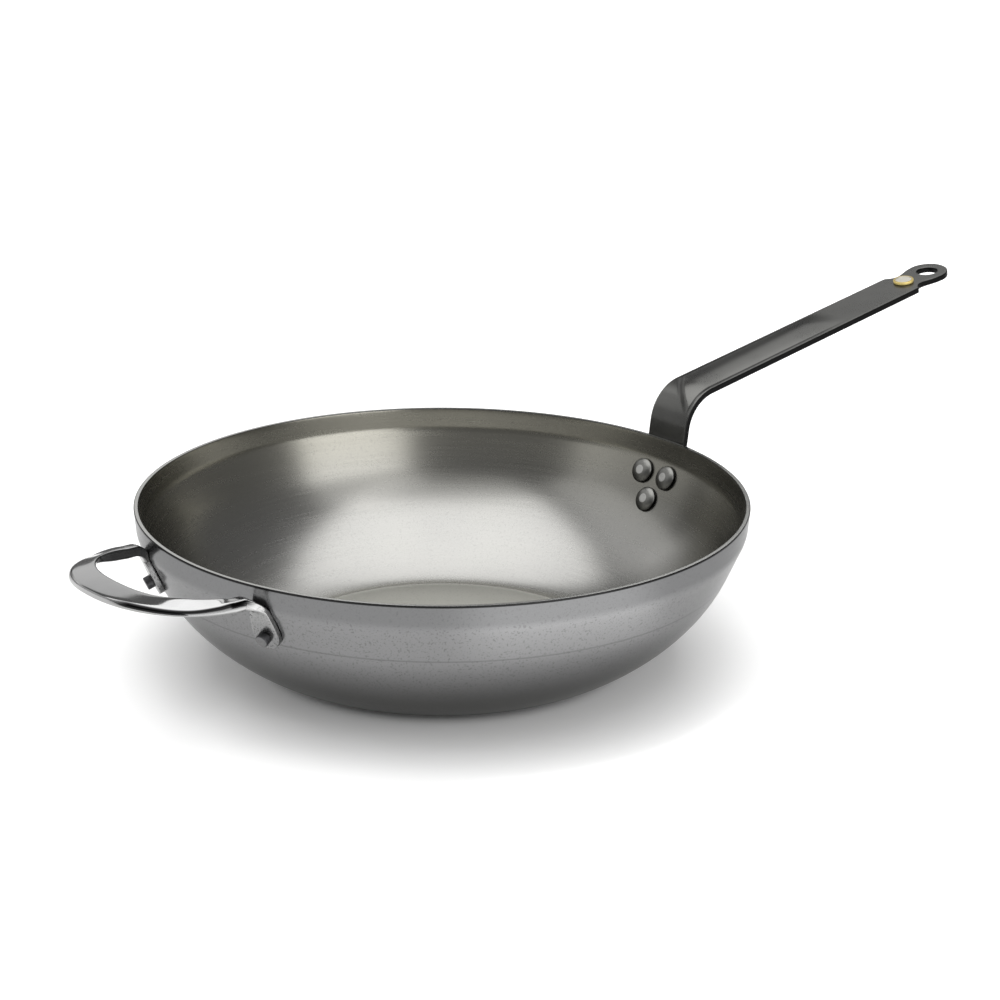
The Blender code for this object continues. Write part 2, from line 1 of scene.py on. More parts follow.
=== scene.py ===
# %% [markdown]
# # A deep carbon steel frying pan
#
# The imported model gives the pan's solids: true in size and place, but faceted. This lesson lays
# finer surfaces over them, worked out as whole arrays with numpy, and gives each metal its own
# finish. The frame is loaded first.

# %% Load the imported model
import math

import bmesh
import bpy
import numpy as np
from mathutils import Matrix


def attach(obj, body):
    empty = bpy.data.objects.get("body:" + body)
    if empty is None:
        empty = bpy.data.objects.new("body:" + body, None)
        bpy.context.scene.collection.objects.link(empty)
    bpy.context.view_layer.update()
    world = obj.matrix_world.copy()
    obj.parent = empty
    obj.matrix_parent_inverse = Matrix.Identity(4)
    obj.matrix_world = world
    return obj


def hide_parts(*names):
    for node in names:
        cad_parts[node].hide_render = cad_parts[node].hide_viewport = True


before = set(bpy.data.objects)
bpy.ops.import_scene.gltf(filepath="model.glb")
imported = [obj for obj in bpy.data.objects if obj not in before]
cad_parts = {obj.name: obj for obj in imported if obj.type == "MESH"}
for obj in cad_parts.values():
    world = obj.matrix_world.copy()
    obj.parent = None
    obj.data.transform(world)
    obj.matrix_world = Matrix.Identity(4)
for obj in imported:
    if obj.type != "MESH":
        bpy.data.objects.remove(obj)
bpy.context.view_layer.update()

# %% [markdown]
# ## The pan's own sizes
#
# A smith's drawing of the pan: the rim, the two creases under it, the curve down to the base, the
# strap's slope. They are the sizes of the solids, in metres, so the fine surfaces lie on them.

# %% Sizes of the bowl
RIM_RADIUS = 0.160
BOWL_HEIGHT = 0.085
WALL = 0.0025
COLLAR_DEPTH = 0.0126
COLLAR_INSET = 0.0010
SHOULDER_DEPTH = 0.0317
SHOULDER_INSET = 0.0094
BASE_RADIUS = 0.087
LOWER_WALL_PULL = 0.0356
BASE_BEND_PULL = 0.012
CREASE_BLEND = 0.0025
SEAT_GAP = 0.0003

# %% [markdown]
# ## From arrays to a mesh
#
# Every surface here is a grid of points: rows along a profile, columns round or across it. The
# quads between the points follow from their numbers alone, so they can be written as arrays too.
# Points that fall together, at a seam or a pole, are merged, and all faces are turned outwards.

# %% Grid of points to quads
def grid_quads(rows, columns, closed=False):
    """Quad (i, j) joins points (i, j), (i+1, j), (i+1, j+1), (i, j+1); closed joins the last
    column to the first."""
    index = np.arange(rows * columns).reshape(rows, columns)
    if closed:
        index = np.hstack([index, index[:, :1]])
    corners = (index[:-1, :-1], index[1:, :-1], index[1:, 1:], index[:-1, 1:])
    return np.stack(corners, axis=-1).reshape(-1, 4)


# %% Grids to one finished piece
MERGE_DISTANCE = 0.000002


def make_piece(name, grids, node, finishes, sharp=40.0):
    """One mesh of several grids. A grid is (points (rows, columns, 3), closed, fields, finish
    number), and a field is a named value for each point, kept as a mesh attribute."""
    points, quads, numbers, count = [], [], [], 0
    fields = {key: [] for key in grids[0][2]}
    for grid, closed, values, number in grids:
        rows, columns = grid.shape[:2]
        faces = grid_quads(rows, columns, closed) + count
        points.append(grid.reshape(-1, 3))
        quads.append(faces)
        numbers.append(np.full(len(faces), number))
        for key in fields:
            fields[key].append(np.broadcast_to(values[key], (rows, columns)).reshape(-1))
        count += rows * columns
    points, quads = np.concatenate(points), np.concatenate(quads)
    mesh = bpy.data.meshes.new(name)
    mesh.vertices.add(len(points))
    mesh.vertices.foreach_set("co", points.astype(np.float32).ravel())
    mesh.loops.add(quads.size)
    mesh.loops.foreach_set("vertex_index", quads.astype(np.int32).ravel())
    mesh.polygons.add(len(quads))
    mesh.polygons.foreach_set("loop_start", np.arange(0, quads.size, 4, dtype=np.int32))
    mesh.polygons.foreach_set("material_index", np.concatenate(numbers).astype(np.int32))
    mesh.update(calc_edges=True)
    for key, values in fields.items():
        layer = mesh.attributes.new(key, "FLOAT", "POINT")
        layer.data.foreach_set("value", np.concatenate(values).astype(np.float32))
    work = bmesh.new()
    work.from_mesh(mesh)
    bmesh.ops.remove_doubles(work, verts=work.verts, dist=MERGE_DISTANCE)
    bmesh.ops.recalc_face_normals(work, faces=work.faces)
    work.to_mesh(mesh)
    work.free()
    mesh.shade_smooth()
    mesh.set_sharp_from_angle(angle=math.radians(sharp))
    for finish in finishes:
        mesh.materials.append(finish)
    piece = bpy.data.objects.new(name, mesh)
    bpy.context.scene.collection.objects.link(piece)
    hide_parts(node)
    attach(piece, "root")
    print(name, len(mesh.polygons), "faces")


# %% [markdown]
# ## Shared effects
#
# Bare, coated and polished steel all show the same few things at different strengths: a fine
# grain left by grinding, small specks, broad clouds of handling, and bright worn edges. Each
# effect is one node group with named sockets, placed in every material with its own values.

# %% Small helpers for node trees
def new_group(name, inputs, outputs):
    """An empty group with its sockets: inputs are names with values, outputs are names."""
    group = bpy.data.node_groups.new(name, "ShaderNodeTree")
    for label, value in inputs.items():
        socket = group.interface.new_socket(label, in_out="INPUT", socket_type="NodeSocketFloat")
        socket.default_value = value
    for label in outputs:
        group.interface.new_socket(label, in_out="OUTPUT", socket_type="NodeSocketFloat")
    given, result = group.nodes.new("NodeGroupInput"), group.nodes.new("NodeGroupOutput")
    return group, given.outputs, result.inputs


def feed(tree, socket, value):
    """Links another node's socket in, or sets a plain value."""
    if isinstance(value, bpy.types.NodeSocket):
        tree.links.new(value, socket)
    else:
        socket.default_value = value


def own_place(tree):
    """Where a point lies in the piece's own frame."""
    return tree.nodes.new("ShaderNodeTexCoord").outputs["Object"]


def reckon(tree, operation, *values, clamp=False):
    """A Math node worked on these values."""
    node = tree.nodes.new("ShaderNodeMath")
    node.operation = operation
    node.use_clamp = clamp
    for socket, value in zip(node.inputs, values):
        feed(tree, socket, value)
    return node.outputs[0]


def times(tree, first, second):
    """The product of two values."""
    return reckon(tree, "MULTIPLY", first, second)


def added(tree, share, amount, start):
    """Start plus a share of an amount."""
    return reckon(tree, "MULTIPLY_ADD", share, amount, start)


def reckon_vector(tree, operation, first, second=None, gives="Value"):
    """A Vector Math node; gives names the output that is taken."""
    node = tree.nodes.new("ShaderNodeVectorMath")
    node.operation = operation
    feed(tree, node.inputs[0], first)
    if second is not None:
        feed(tree, node.inputs[1], second)
    return node.outputs[gives]


def noise(tree, vector, scale, detail=2.0, roughness=0.5):
    """A Noise Texture's plain value, about 0.5 on average."""
    node = tree.nodes.new("ShaderNodeTexNoise")
    feed(tree, node.inputs["Vector"], vector)
    feed(tree, node.inputs["Scale"], scale)
    node.inputs["Detail"].default_value = detail
    node.inputs["Roughness"].default_value = roughness
    return node.outputs["Fac"]


def ramp(tree, value, low, high, to_low=0.0, to_high=1.0):
    """A smooth step: below low it gives to_low, above high it gives to_high."""
    node = tree.nodes.new("ShaderNodeMapRange")
    node.interpolation_type = "SMOOTHSTEP"
    for label, number in (("Value", value), ("From Min", low), ("From Max", high),
                          ("To Min", to_low), ("To Max", to_high)):
        feed(tree, node.inputs[label], number)
    return node.outputs["Result"]


def band(tree, value, low, high, soft):
    """1 between low and high and 0 outside, over borders that are soft wide."""
    rises = ramp(tree, value, low - soft / 2, low + soft / 2)
    falls = ramp(tree, value, high - soft / 2, high + soft / 2, 1.0, 0.0)
    return times(tree, rises, falls)


# %% Grain that runs round the bowl
GRAIN_OUTPUTS = ("Streak", "Speck", "Cloud")
ROUND_SCALE = 2.6
AXIS_CLEARANCE = 0.004


def make_spun_grain():
    """Noise stretched round the Z axis: its coordinates are the direction from the axis, drawn
    close together, and the way along the profile (radius plus height), drawn far apart."""
    group, given, result = new_group("spun grain", {"Lines": 520.0, "Specks": 900.0}, GRAIN_OUTPUTS)
    place = own_place(group)
    split = group.nodes.new("ShaderNodeSeparateXYZ")
    feed(group, split.inputs[0], place)
    x, y, z = split.outputs
    radius = reckon(group, "SQRT", reckon(group, "ADD", times(group, x, x), times(group, y, y)))
    safe = reckon(group, "MAXIMUM", radius, AXIS_CLEARANCE)
    join = group.nodes.new("ShaderNodeCombineXYZ")
    for socket, value in zip(join.inputs, (x, y)):
        feed(group, socket, times(group, reckon(group, "DIVIDE", value, safe), ROUND_SCALE))
    feed(group, join.inputs[2], times(group, reckon(group, "ADD", radius, z), given["Lines"]))
    feed(group, result["Streak"], noise(group, join.outputs[0], 1.0, 3.0, 0.6))
    feed(group, result["Speck"], noise(group, place, given["Specks"], 2.0, 0.55))
    feed(group, result["Cloud"], noise(group, place, 11.0, 3.0))
    return group


SPUN_GRAIN = make_spun_grain()

# %% Grain that runs along a bar, and worn edges
BAR_STRETCH = (0.06, 1.0, 0.3)


def make_bar_grain():
    """Noise stretched along X, for a strap that was ground lengthwise."""
    group, given, result = new_group("bar grain", {"Lines": 900.0, "Specks": 1100.0}, GRAIN_OUTPUTS)
    place = own_place(group)
    drawn = reckon_vector(group, "MULTIPLY", place, BAR_STRETCH, "Vector")
    feed(group, result["Streak"], noise(group, drawn, given["Lines"], 2.0, 0.55))
    feed(group, result["Speck"], noise(group, place, given["Specks"], 2.0, 0.6))
    feed(group, result["Cloud"], noise(group, place, 28.0, 3.0))
    return group


def make_edge_wear():
    """A mask that is 1 on the edge and falls to 0 over Width, its border broken up by noise."""
    inputs = {"Distance": 1.0, "Width": 0.6, "Breakup": 260.0}
    group, given, result = new_group("edge wear", inputs, ["Mask"])
    ragged = noise(group, own_place(group), given["Breakup"], 3.0, 0.6)
    reach = times(group, given["Width"], added(group, ragged, 1.6, 0.1))
    share = reckon(group, "DIVIDE", given["Distance"], reach)
    feed(group, result["Mask"], ramp(group, share, 0.35, 1.0, 1.0, 0.0))
    return group


BAR_GRAIN = make_bar_grain()
EDGE_WEAR = make_edge_wear()

# %% A material with its shader, and ways to fill it
def new_finish(name, metallic, roughness, colour, edge_tint=1.0):
    """A material, its tree and its shader. An edge tint under 1 dims metal seen at a low angle."""
    made = bpy.data.materials.new(name)
    made.use_nodes = True
    shader = made.node_tree.nodes["Principled BSDF"]
    shader.inputs["Metallic"].default_value = metallic
    shader.inputs["Roughness"].default_value = roughness
    shader.inputs["Base Color"].default_value = (*colour, 1.0)
    shader.inputs["Specular Tint"].default_value = (edge_tint, edge_tint, edge_tint, 1.0)
    return made, made.node_tree, shader


def place_group(tree, group, **values):
    """A group's outputs, with these values at its inputs."""
    node = tree.nodes.new("ShaderNodeGroup")
    node.node_tree = group
    for label, value in values.items():
        feed(tree, node.inputs[label], value)
    return node.outputs


def field(tree, name):
    """A value kept at the mesh's points."""
    node = tree.nodes.new("ShaderNodeAttribute")
    node.attribute_name = name
    return node.outputs["Fac"]


def blend(tree, share, first, second):
    """Colour from first to second as share goes from 0 to 1. A plain number is a grey."""
    node = tree.nodes.new("ShaderNodeMix")
    node.data_type = "RGBA"
    feed(tree, node.inputs[0], share)
    for socket, colour in ((node.inputs[6], first), (node.inputs[7], second)):
        if isinstance(colour, float):
            colour = (colour, colour, colour)
        feed(tree, socket, (*colour, 1.0) if isinstance(colour, tuple) else colour)
    return node.outputs[2]


def dress(tree, shader, colour, roughness, height, distance, strength):
    """Feeds the shader its colour, its roughness and the normal of a Bump node, whose height in
    0 to 1 pushes the surface by that distance in metres."""
    bump = tree.nodes.new("ShaderNodeBump")
    bump.inputs["Distance"].default_value = distance
    bump.inputs["Strength"].default_value = strength
    feed(tree, bump.inputs["Height"], height)
    feed(tree, shader.inputs["Base Color"], colour)
    feed(tree, shader.inputs["Roughness"], roughness)
    feed(tree, shader.inputs["Normal"], bump.outputs["Normal"])


# %% [markdown]
# ## Bare steel of the bowl
#
# The bowl is pressed from a bare sheet and ground on a wheel: a mid-grey satin metal whose grain
# runs round it, with small specks, most of them outside. Inside it is slightly warmer towards the
# rim and palest on the floor. Outside, the band under the rim and the lower wall are painted
# darker, as painted shade, and a painted shade line runs along the shoulder crease. The rim is cut
# clean; its flat top is painted paler, bare steel and partly a painted highlight, between two
# painted shade lines on its roundings. Each of these tones is one layer, laid on over a range of
# depths under the rim.

# %% Layers of the bowl's finish
GROUND_STEEL = (0.262, 0.263, 0.265), (0.288, 0.288, 0.286)
RIM_STEEL_AND_HIGHLIGHT = (0.58, 0.58, 0.56)
FLOOR_DEPTHS = (82.2, 82.49)
CREASE_DEPTH = SHOULDER_DEPTH * 1000.0
# Side, the two depths in millimetres between which the share changes, its two values, the tone.
BOWL_TONES_AND_PAINTED_SHADE = (
    ("inside", 60.0, 5.0, 0.3, 1.0, (0.305, 0.297, 0.260)),
    ("inside", 12.5, 9.5, 0.0, 1.0, (0.330, 0.322, 0.284)),
    ("inside", *FLOOR_DEPTHS, 0.0, 1.0, (0.53, 0.53, 0.50)),
    # Painted shade: the outside's top 9 mm under the rim stays darker (0.165) than below 16 mm
    # (0.252).
    ("outside", 9.0, 16.0, 1.0, 1.0, (0.165, 0.166, 0.168)),
    ("outside", 9.0, 16.0, 0.0, 1.0, (0.252, 0.252, 0.254)),
    # Painted shade: the outside is painted darker towards the base.
    ("outside", 33.0, 79.0, 0.0, 0.85, (0.062, 0.061, 0.055)),
    ("outside", 66.0, 80.0, 0.0, 0.3, 0.02),
)


# %% Finish of the bowl
def make_bowl_finish():
    """The layers, then the painted shade line at the crease, the specks, and the rim's top, paler
    bare steel and partly a painted highlight, between two painted shade lines.
    """
    made, tree, shader = new_finish("bare_steel_satin", 1.0, 0.33, (0.26, 0.26, 0.26), 0.68)
    grain = place_group(tree, SPUN_GRAIN, Lines=520.0, Specks=900.0)
    inside, depth, rim = field(tree, "inside"), field(tree, "depth"), field(tree, "rim")
    sides = {"inside": inside, "outside": reckon(tree, "SUBTRACT", 1.0, inside)}
    tone = blend(tree, ramp(tree, grain["Cloud"], 0.35, 0.68), *GROUND_STEEL)
    for side, start, end, first, last, layer in BOWL_TONES_AND_PAINTED_SHADE:
        share = times(tree, sides[side], ramp(tree, depth, start, end, first, last))
        tone = blend(tree, share, tone, layer)
    # Painted shade: a dark line round the outside at the shoulder crease.
    crease_shade = band(tree, depth, CREASE_DEPTH - 0.4, CREASE_DEPTH + 0.5, 0.5)
    crease_shade = times(tree, sides["outside"], crease_shade)
    tone = blend(tree, times(tree, crease_shade, 0.3), tone, 0.05)
    specks = times(tree, ramp(tree, grain["Speck"], 0.57, 0.66, 0.0, 0.6),
                   ramp(tree, sides["outside"], 0.0, 1.0, 0.25, 1.0))
    tone = blend(tree, specks, tone, 0.13)
    # Painted shade: near-black lines on the rim's two roundings. The flat top between them is paler
    # bare steel and partly a painted highlight.
    rim_edge_shade = reckon(tree, "ADD", band(tree, rim, 0.85, 2.1, 0.25), band(tree, rim, -1.4, -0.9, 0.25),
                   clamp=True)
    tone = blend(tree, rim_edge_shade, tone, 0.022)
    tone = blend(tree, band(tree, rim, -0.85, 0.8, 0.2), tone, RIM_STEEL_AND_HIGHLIGHT)
    roughness = added(tree, grain["Streak"], 0.09, 0.16)
    floor = times(tree, inside, ramp(tree, depth, *FLOOR_DEPTHS))
    for share, amount in ((grain["Speck"], 0.05), (floor, 0.14), (inside, 0.03)):
        roughness = added(tree, share, amount, roughness)
    height = added(tree, grain["Speck"], 0.6, grain["Streak"])
    dress(tree, shader, tone, roughness, height, 0.000010, 0.6)
    return made


BOWL_FINISH = make_bowl_finish()

# %% [markdown]
# ## The bowl
#
# A bowl is a profile turned round an axis. The profile is the outer wall as an array of (radius,
# height), moved in by the wall's thickness for the inside, with a small rounded rim between them.
# The crease under the rim and the smooth curve to the base are Bezier arcs, so any number of
# points can be taken from them.

# %% The wall's outer line
def bezier(corners, count):
    """Points of a Bezier arc: the corners weighted by the binomial terms of t and 1 - t."""
    corners = np.asarray(corners, float)
    t = np.linspace(0.0, 1.0, count)[:, None]
    n = len(corners) - 1
    weights = [math.comb(n, k) * t**k * (1 - t) ** (n - k) for k in range(n + 1)]
    return sum(w * c for w, c in zip(weights, corners))


def way_along(line):
    """The way along a line of points, counted from its first."""
    return np.concatenate([[0.0], np.cumsum(np.linalg.norm(np.diff(line, axis=0), axis=1))])


def sag(radius, half):
    """How far a circle falls away from its tangent over half a chord."""
    return radius - math.sqrt(radius**2 - half**2)


def wall_line():
    """(radius, height) from the rim down to the edge of the flat base."""
    rim = np.array([RIM_RADIUS, BOWL_HEIGHT])
    collar = np.array([RIM_RADIUS - COLLAR_INSET, BOWL_HEIGHT - COLLAR_DEPTH])
    shoulder = np.array([RIM_RADIUS - SHOULDER_INSET, BOWL_HEIGHT - SHOULDER_DEPTH])
    up = (rim - collar) / np.linalg.norm(rim - collar)
    down = (shoulder - collar) / np.linalg.norm(shoulder - collar)
    start, end = collar + up * CREASE_BLEND, collar + down * CREASE_BLEND
    edge = np.array([BASE_RADIUS, 0.0])
    lower = [shoulder, shoulder + down * LOWER_WALL_PULL, edge + [BASE_BEND_PULL, 0.0], edge]
    return np.concatenate([
        np.linspace(rim, start, 8)[:-1],
        bezier([start, collar, end], 10)[:-1],
        np.linspace(end, shoulder, 10)[:-1],
        bezier(lower, 60),
    ])


def line_normals(line):
    """Unit normals to the right of the line's direction: the mean of the two pieces beside a
    point, turned by a quarter."""
    step = np.gradient(line, axis=0)
    step /= np.linalg.norm(step, axis=1)[:, None]
    return np.column_stack([step[:, 1], -step[:, 0]])


WALL_LINE = wall_line()
WALL_DEPTHS = BOWL_HEIGHT - WALL_LINE[:, 1]


def wall_radius(height, out=0.0):
    """Radius of the outer wall at a height, moved out by that distance."""
    moved = WALL_LINE - line_normals(WALL_LINE) * out
    return np.interp(height, moved[::-1, 1], moved[::-1, 0])


# %% Turn the bowl
BOWL_COLUMNS = 320
RIM_ROUNDING = 0.00045
RIM_ZONE = 0.0012


def turn(profile, columns):
    """Each (radius, height) carried round Z: (radius cos a, radius sin a, height)."""
    angle = np.linspace(0.0, math.tau, columns, endpoint=False)
    radius, height = profile[:, :1], profile[:, 1:]
    return np.stack([radius * np.cos(angle), radius * np.sin(angle),
                     np.broadcast_to(height, (len(profile), columns))], axis=-1)


def level(start, end, height, count):
    """Points at one height from one radius to another."""
    return np.column_stack([np.linspace(start, end, count), np.full(count, height)])


def make_bowl():
    """The profile goes from the middle of the floor up the inside, over the rim, down the outside
    and to the middle of the base. Its fields are the side, the depth under the rim and the way
    from the middle of the rim's flat top, both in millimetres."""
    inner = WALL_LINE + line_normals(WALL_LINE) * WALL
    inner[-1] = (BASE_RADIUS, WALL)
    rim_in = float(inner[0, 0])
    up, down = (line[line[:, 1] < BOWL_HEIGHT - RIM_ZONE] for line in (inner, WALL_LINE))
    turned = np.linspace(0.0, math.pi / 2, 5)
    least, most = RIM_ROUNDING * (1 - np.cos(turned)), RIM_ROUNDING * (1 - np.sin(turned))
    round_in = np.column_stack([rim_in + least, BOWL_HEIGHT - most])
    round_out = np.column_stack([RIM_RADIUS - most, BOWL_HEIGHT - least])
    top = level(rim_in + RIM_ROUNDING, RIM_RADIUS - RIM_ROUNDING, BOWL_HEIGHT, 8)[1:-1]
    floor = level(0.0, BASE_RADIUS, WALL, 26)[:-1]
    base = level(BASE_RADIUS, 0.0, 0.0, 12)[1:]
    profile = np.concatenate([floor, up[::-1], round_in, top, round_out, down, base])
    first_top = len(floor) + len(up) + len(round_in)
    inside = (np.arange(len(profile)) < first_top).astype(float)
    depth = (BOWL_HEIGHT - profile[:, 1]) * 1000.0
    way = way_along(profile)
    rim = (way - way[first_top + 2:first_top + 4].mean()) * 1000.0
    fields = {"inside": inside[:, None], "depth": depth[:, None], "rim": rim[:, None]}
    make_piece("bowl_surface", [(turn(profile, BOWL_COLUMNS), True, fields, 0)], "pan_body",
               [BOWL_FINISH])


make_bowl()

# %% [markdown]
# ## The strap's steel
#
# The strap is dark coated steel: satin, with the coating worn thin on the corners, and its cut
# sides painted nearly black as painted shade. Its own edge distance, kept at the points in
# millimetres, drives the wear and a painted shade line along the foot of the crown.

# %% Finish of the strap
COATED_STEEL = (0.096, 0.096, 0.092), (0.118, 0.118, 0.113)
WORN_COATING = (0.24, 0.24, 0.235)


def make_strap_finish():
    """Over the coated tone: painted shade along the crown's foot and on the sides, then worn
    corners.
    """
    made, tree, shader = new_finish("strap_dark_satin", 0.95, 0.26, (0.13, 0.13, 0.125), 0.6)
    grain = place_group(tree, BAR_GRAIN, Lines=1100.0, Specks=1500.0)
    edge, flat = field(tree, "edge"), field(tree, "flat")
    tone = blend(tree, ramp(tree, grain["Cloud"], 0.3, 0.7), *COATED_STEEL)
    # Painted shade: a dark line where the crown meets the flat margins.
    line = times(tree, band(tree, edge, 1.7, 2.6, 0.5), field(tree, "crowned"))
    tone = blend(tree, times(tree, line, 0.75), tone, 0.02)
    # Painted shade: the cut sides and the rounded corners are painted nearly black.
    tone = blend(tree, flat, 0.008, tone)
    wear = place_group(tree, EDGE_WEAR, Distance=edge, Width=0.9, Breakup=300.0)["Mask"]
    tone = blend(tree, times(tree, times(tree, wear, flat), 0.55), tone, WORN_COATING)
    roughness = added(tree, grain["Cloud"], 0.08, added(tree, grain["Speck"], 0.10, 0.20))
    height = added(tree, grain["Speck"], 0.8, times(tree, grain["Streak"], 0.5))
    dress(tree, shader, tone, roughness, height, 0.000014, 0.6)
    return made


STRAP_FINISH = make_strap_finish()

# %% [markdown]
# ## The strap handle
#
# A forged strap is a flat shape that is bent. So it is drawn flat first, as an outline with an
# eye, and every point of it gets a thickness that rounds off near the outline. Then the sheet is
# rolled along the strap's side view: along the wall, round the bend and up the slope.

# %% Sizes of the strap
STRAP_THICKNESS = 0.0036
STRAP_HALF_WIDTH = 0.0141
STRAP_TAPER = 0.0005
STRAP_SLOPE = math.radians(10.2)
STRAP_LINE_RISE = 0.0248
STRAP_LEAN = math.radians(8.0)
STRAP_BEND_RADIUS = 0.0245
STRAP_RIM_STANDOFF = 0.0004
EYE_REACH = 0.2184
EYE_RADIUS = 0.0122
HANG_HOLE_RADIUS = 0.00615
NECK_BACK = 0.0165
NECK_HALF_WIDTH = 0.0093
SHOULDER_BACK = 0.0230
EYE_MEET = math.radians(100.0)
UPPER_RIVET_DEPTH = 0.0208
UPPER_RIVET_SIDE = 0.0095
LOWER_RIVET_DEPTH = 0.0344
FOOT_END_LENGTH = 0.0125
FOOT_START_DROP = 0.0003
SPARE_WAY = 0.0020
RIM_APPROACH = 0.0070
WALL_PART_RISE = 0.0030
SHOULDER_WAY = np.array([0.0, 0.12, 0.34, 0.65, 1.0])
SHOULDER_DROP = np.array([0.0, 0.25, 0.58, 0.88, 1.0])


# %% The strap's side view, from the foot to the eye
def strap_height(x):
    """Height of the strap's straight top face."""
    return BOWL_HEIGHT + STRAP_LINE_RISE + math.tan(STRAP_SLOPE) * (x - RIM_RADIUS)


def wall_spot(depth):
    """Radius of the outer wall and its lean from the vertical, at a depth under the rim."""
    radius = float(np.interp(depth, WALL_DEPTHS, WALL_LINE[:, 0]))
    slope = np.gradient(WALL_LINE[:, 0], WALL_DEPTHS)
    return radius, math.atan(-float(np.interp(depth, WALL_DEPTHS, slope)))


RIVET_WALL_RADIUS = wall_spot(UPPER_RIVET_DEPTH)[0]
STRAP_SAG = sag(RIVET_WALL_RADIUS, STRAP_HALF_WIDTH)


def strap_side_view():
    """Middle of the strap's thickness as (x, z), with unit normals towards its upper face. The
    bend is an arc from the steep part's angle down to the slope."""
    seat = WALL_LINE - line_normals(WALL_LINE) * (SEAT_GAP - STRAP_SAG)
    low = BOWL_HEIGHT - LOWER_RIVET_DEPTH - FOOT_END_LENGTH - SPARE_WAY
    seat = seat[(seat[:, 1] > low) & (seat[:, 1] < BOWL_HEIGHT - RIM_APPROACH)][::-1]
    rim = np.array([[RIM_RADIUS + STRAP_RIM_STANDOFF, BOWL_HEIGHT]])
    steep = math.pi / 2 - STRAP_LEAN
    bend = STRAP_BEND_RADIUS
    run = bend * (math.sin(steep) - math.sin(STRAP_SLOPE))
    climb = bend * (math.cos(STRAP_SLOPE) - math.cos(steep))
    short = strap_height(rim[0, 0] + run) - climb - rim[0, 1]
    rise = short / (math.sin(steep) - math.tan(STRAP_SLOPE) * math.cos(steep))
    start = rim[0] + rise * np.array([math.cos(steep), math.sin(steep)])
    angle = np.linspace(steep, STRAP_SLOPE, 40)
    arc = np.column_stack([start[0] + bend * (math.sin(steep) - np.sin(angle)),
                           start[1] + bend * (np.cos(angle) - math.cos(steep))])
    end = RIM_RADIUS + (EYE_REACH + EYE_RADIUS + SPARE_WAY) * math.cos(STRAP_SLOPE)
    steep_part = np.linspace(rim[0], arc[0], 6)[1:-1]
    face = np.concatenate([seat, rim, steep_part, arc, [[end, strap_height(end)]]])
    normals = line_normals(face)
    return face + normals * STRAP_THICKNESS / 2, -normals


STRAP_MIDDLE, STRAP_NORMALS = strap_side_view()
STRAP_WAY = way_along(STRAP_MIDDLE)
EYE_SPOT = STRAP_WAY[-1] - EYE_RADIUS - SPARE_WAY


def roll(flat, raised):
    """Flat points (way from the eye's centre, across) and their height over the middle, carried
    to the side view: the middle's point at that way, plus the height along its normal."""
    way = flat[..., 0] + EYE_SPOT
    x, z, nx, nz = (np.interp(way, STRAP_WAY, column) for column in
                    (*STRAP_MIDDLE.T, *STRAP_NORMALS.T))
    length = np.hypot(nx, nz)
    return np.stack([x + raised * nx / length, flat[..., 1], z + raised * nz / length], axis=-1)


# %% The strap's flat outline
def way_at_height(height):
    """Way from the eye's centre of the point of the middle line at a height on the wall part."""
    k = int(np.argmax(STRAP_MIDDLE[:, 1] > BOWL_HEIGHT + WALL_PART_RISE))
    return float(np.interp(height, STRAP_MIDDLE[:k, 1], STRAP_WAY[:k])) - EYE_SPOT


FOOT_START = way_at_height(BOWL_HEIGHT - LOWER_RIVET_DEPTH - FOOT_START_DROP)
FOOT_TIP = FOOT_START - FOOT_END_LENGTH


def strap_half_width(way):
    """Half the width: a half ellipse at the foot, straight sides with a slight taper, then the
    shoulder that drops to the neck."""
    wide = STRAP_HALF_WIDTH - STRAP_TAPER
    step = wide - NECK_HALF_WIDTH
    run = SHOULDER_BACK - NECK_BACK
    at = np.concatenate([[FOOT_TIP, -EYE_REACH], -SHOULDER_BACK + run * SHOULDER_WAY])
    half = np.concatenate([[STRAP_HALF_WIDTH] * 2, wide - step * SHOULDER_DROP])
    sides = np.interp(way, at, half)
    below = np.clip((FOOT_START - way) / FOOT_END_LENGTH, 0.0, 1.0)
    return sides * np.sqrt(1.0 - below**2)


def strap_outline():
    """The closed outline in the flat: one side from the foot's tip to the eye, then mirrored."""
    foot = FOOT_START - FOOT_END_LENGTH * np.cos(np.linspace(0.0, math.pi / 2, 16))
    shoulder = -SHOULDER_BACK + (SHOULDER_BACK - NECK_BACK) * SHOULDER_WAY
    body = np.concatenate([foot, [-EYE_REACH], shoulder])
    side = np.column_stack([body, strap_half_width(body)])
    meet = EYE_RADIUS * np.array([math.cos(EYE_MEET), math.sin(EYE_MEET)])
    share = np.linspace(0.0, 1.0, 12)[1:-1]
    ease = 0.5 - 0.5 * np.cos(math.pi * share)
    swell = np.column_stack([-NECK_BACK + (meet[0] + NECK_BACK) * share,
                             NECK_HALF_WIDTH + (meet[1] - NECK_HALF_WIDTH) * ease])
    angle = np.linspace(EYE_MEET, 0.0, 30)
    eye = EYE_RADIUS * np.column_stack([np.cos(angle), np.sin(angle)])
    half = np.concatenate([side, swell, eye])
    return np.concatenate([half, (half * [1.0, -1.0])[-2:0:-1]])


OUTLINE = strap_outline()


def edge_distance(flat):
    """Distance of flat points from the outline or the eye's hole: the least over all sides of the
    distance to the nearest point of that side."""
    start, end = OUTLINE, np.roll(OUTLINE, -1, axis=0)
    along = end - start
    points = flat.reshape(-1, 1, 2)
    share = ((points - start) * along).sum(-1) / (along**2).sum(-1)
    nearest = start + np.clip(share, 0.0, 1.0)[..., None] * along
    outer = np.sqrt(((points - nearest) ** 2).sum(-1)).min(1)
    hole = np.abs(np.hypot(*flat.reshape(-1, 2).T) - HANG_HOLE_RADIUS)
    return np.minimum(outer, hole).reshape(flat.shape[:-1])


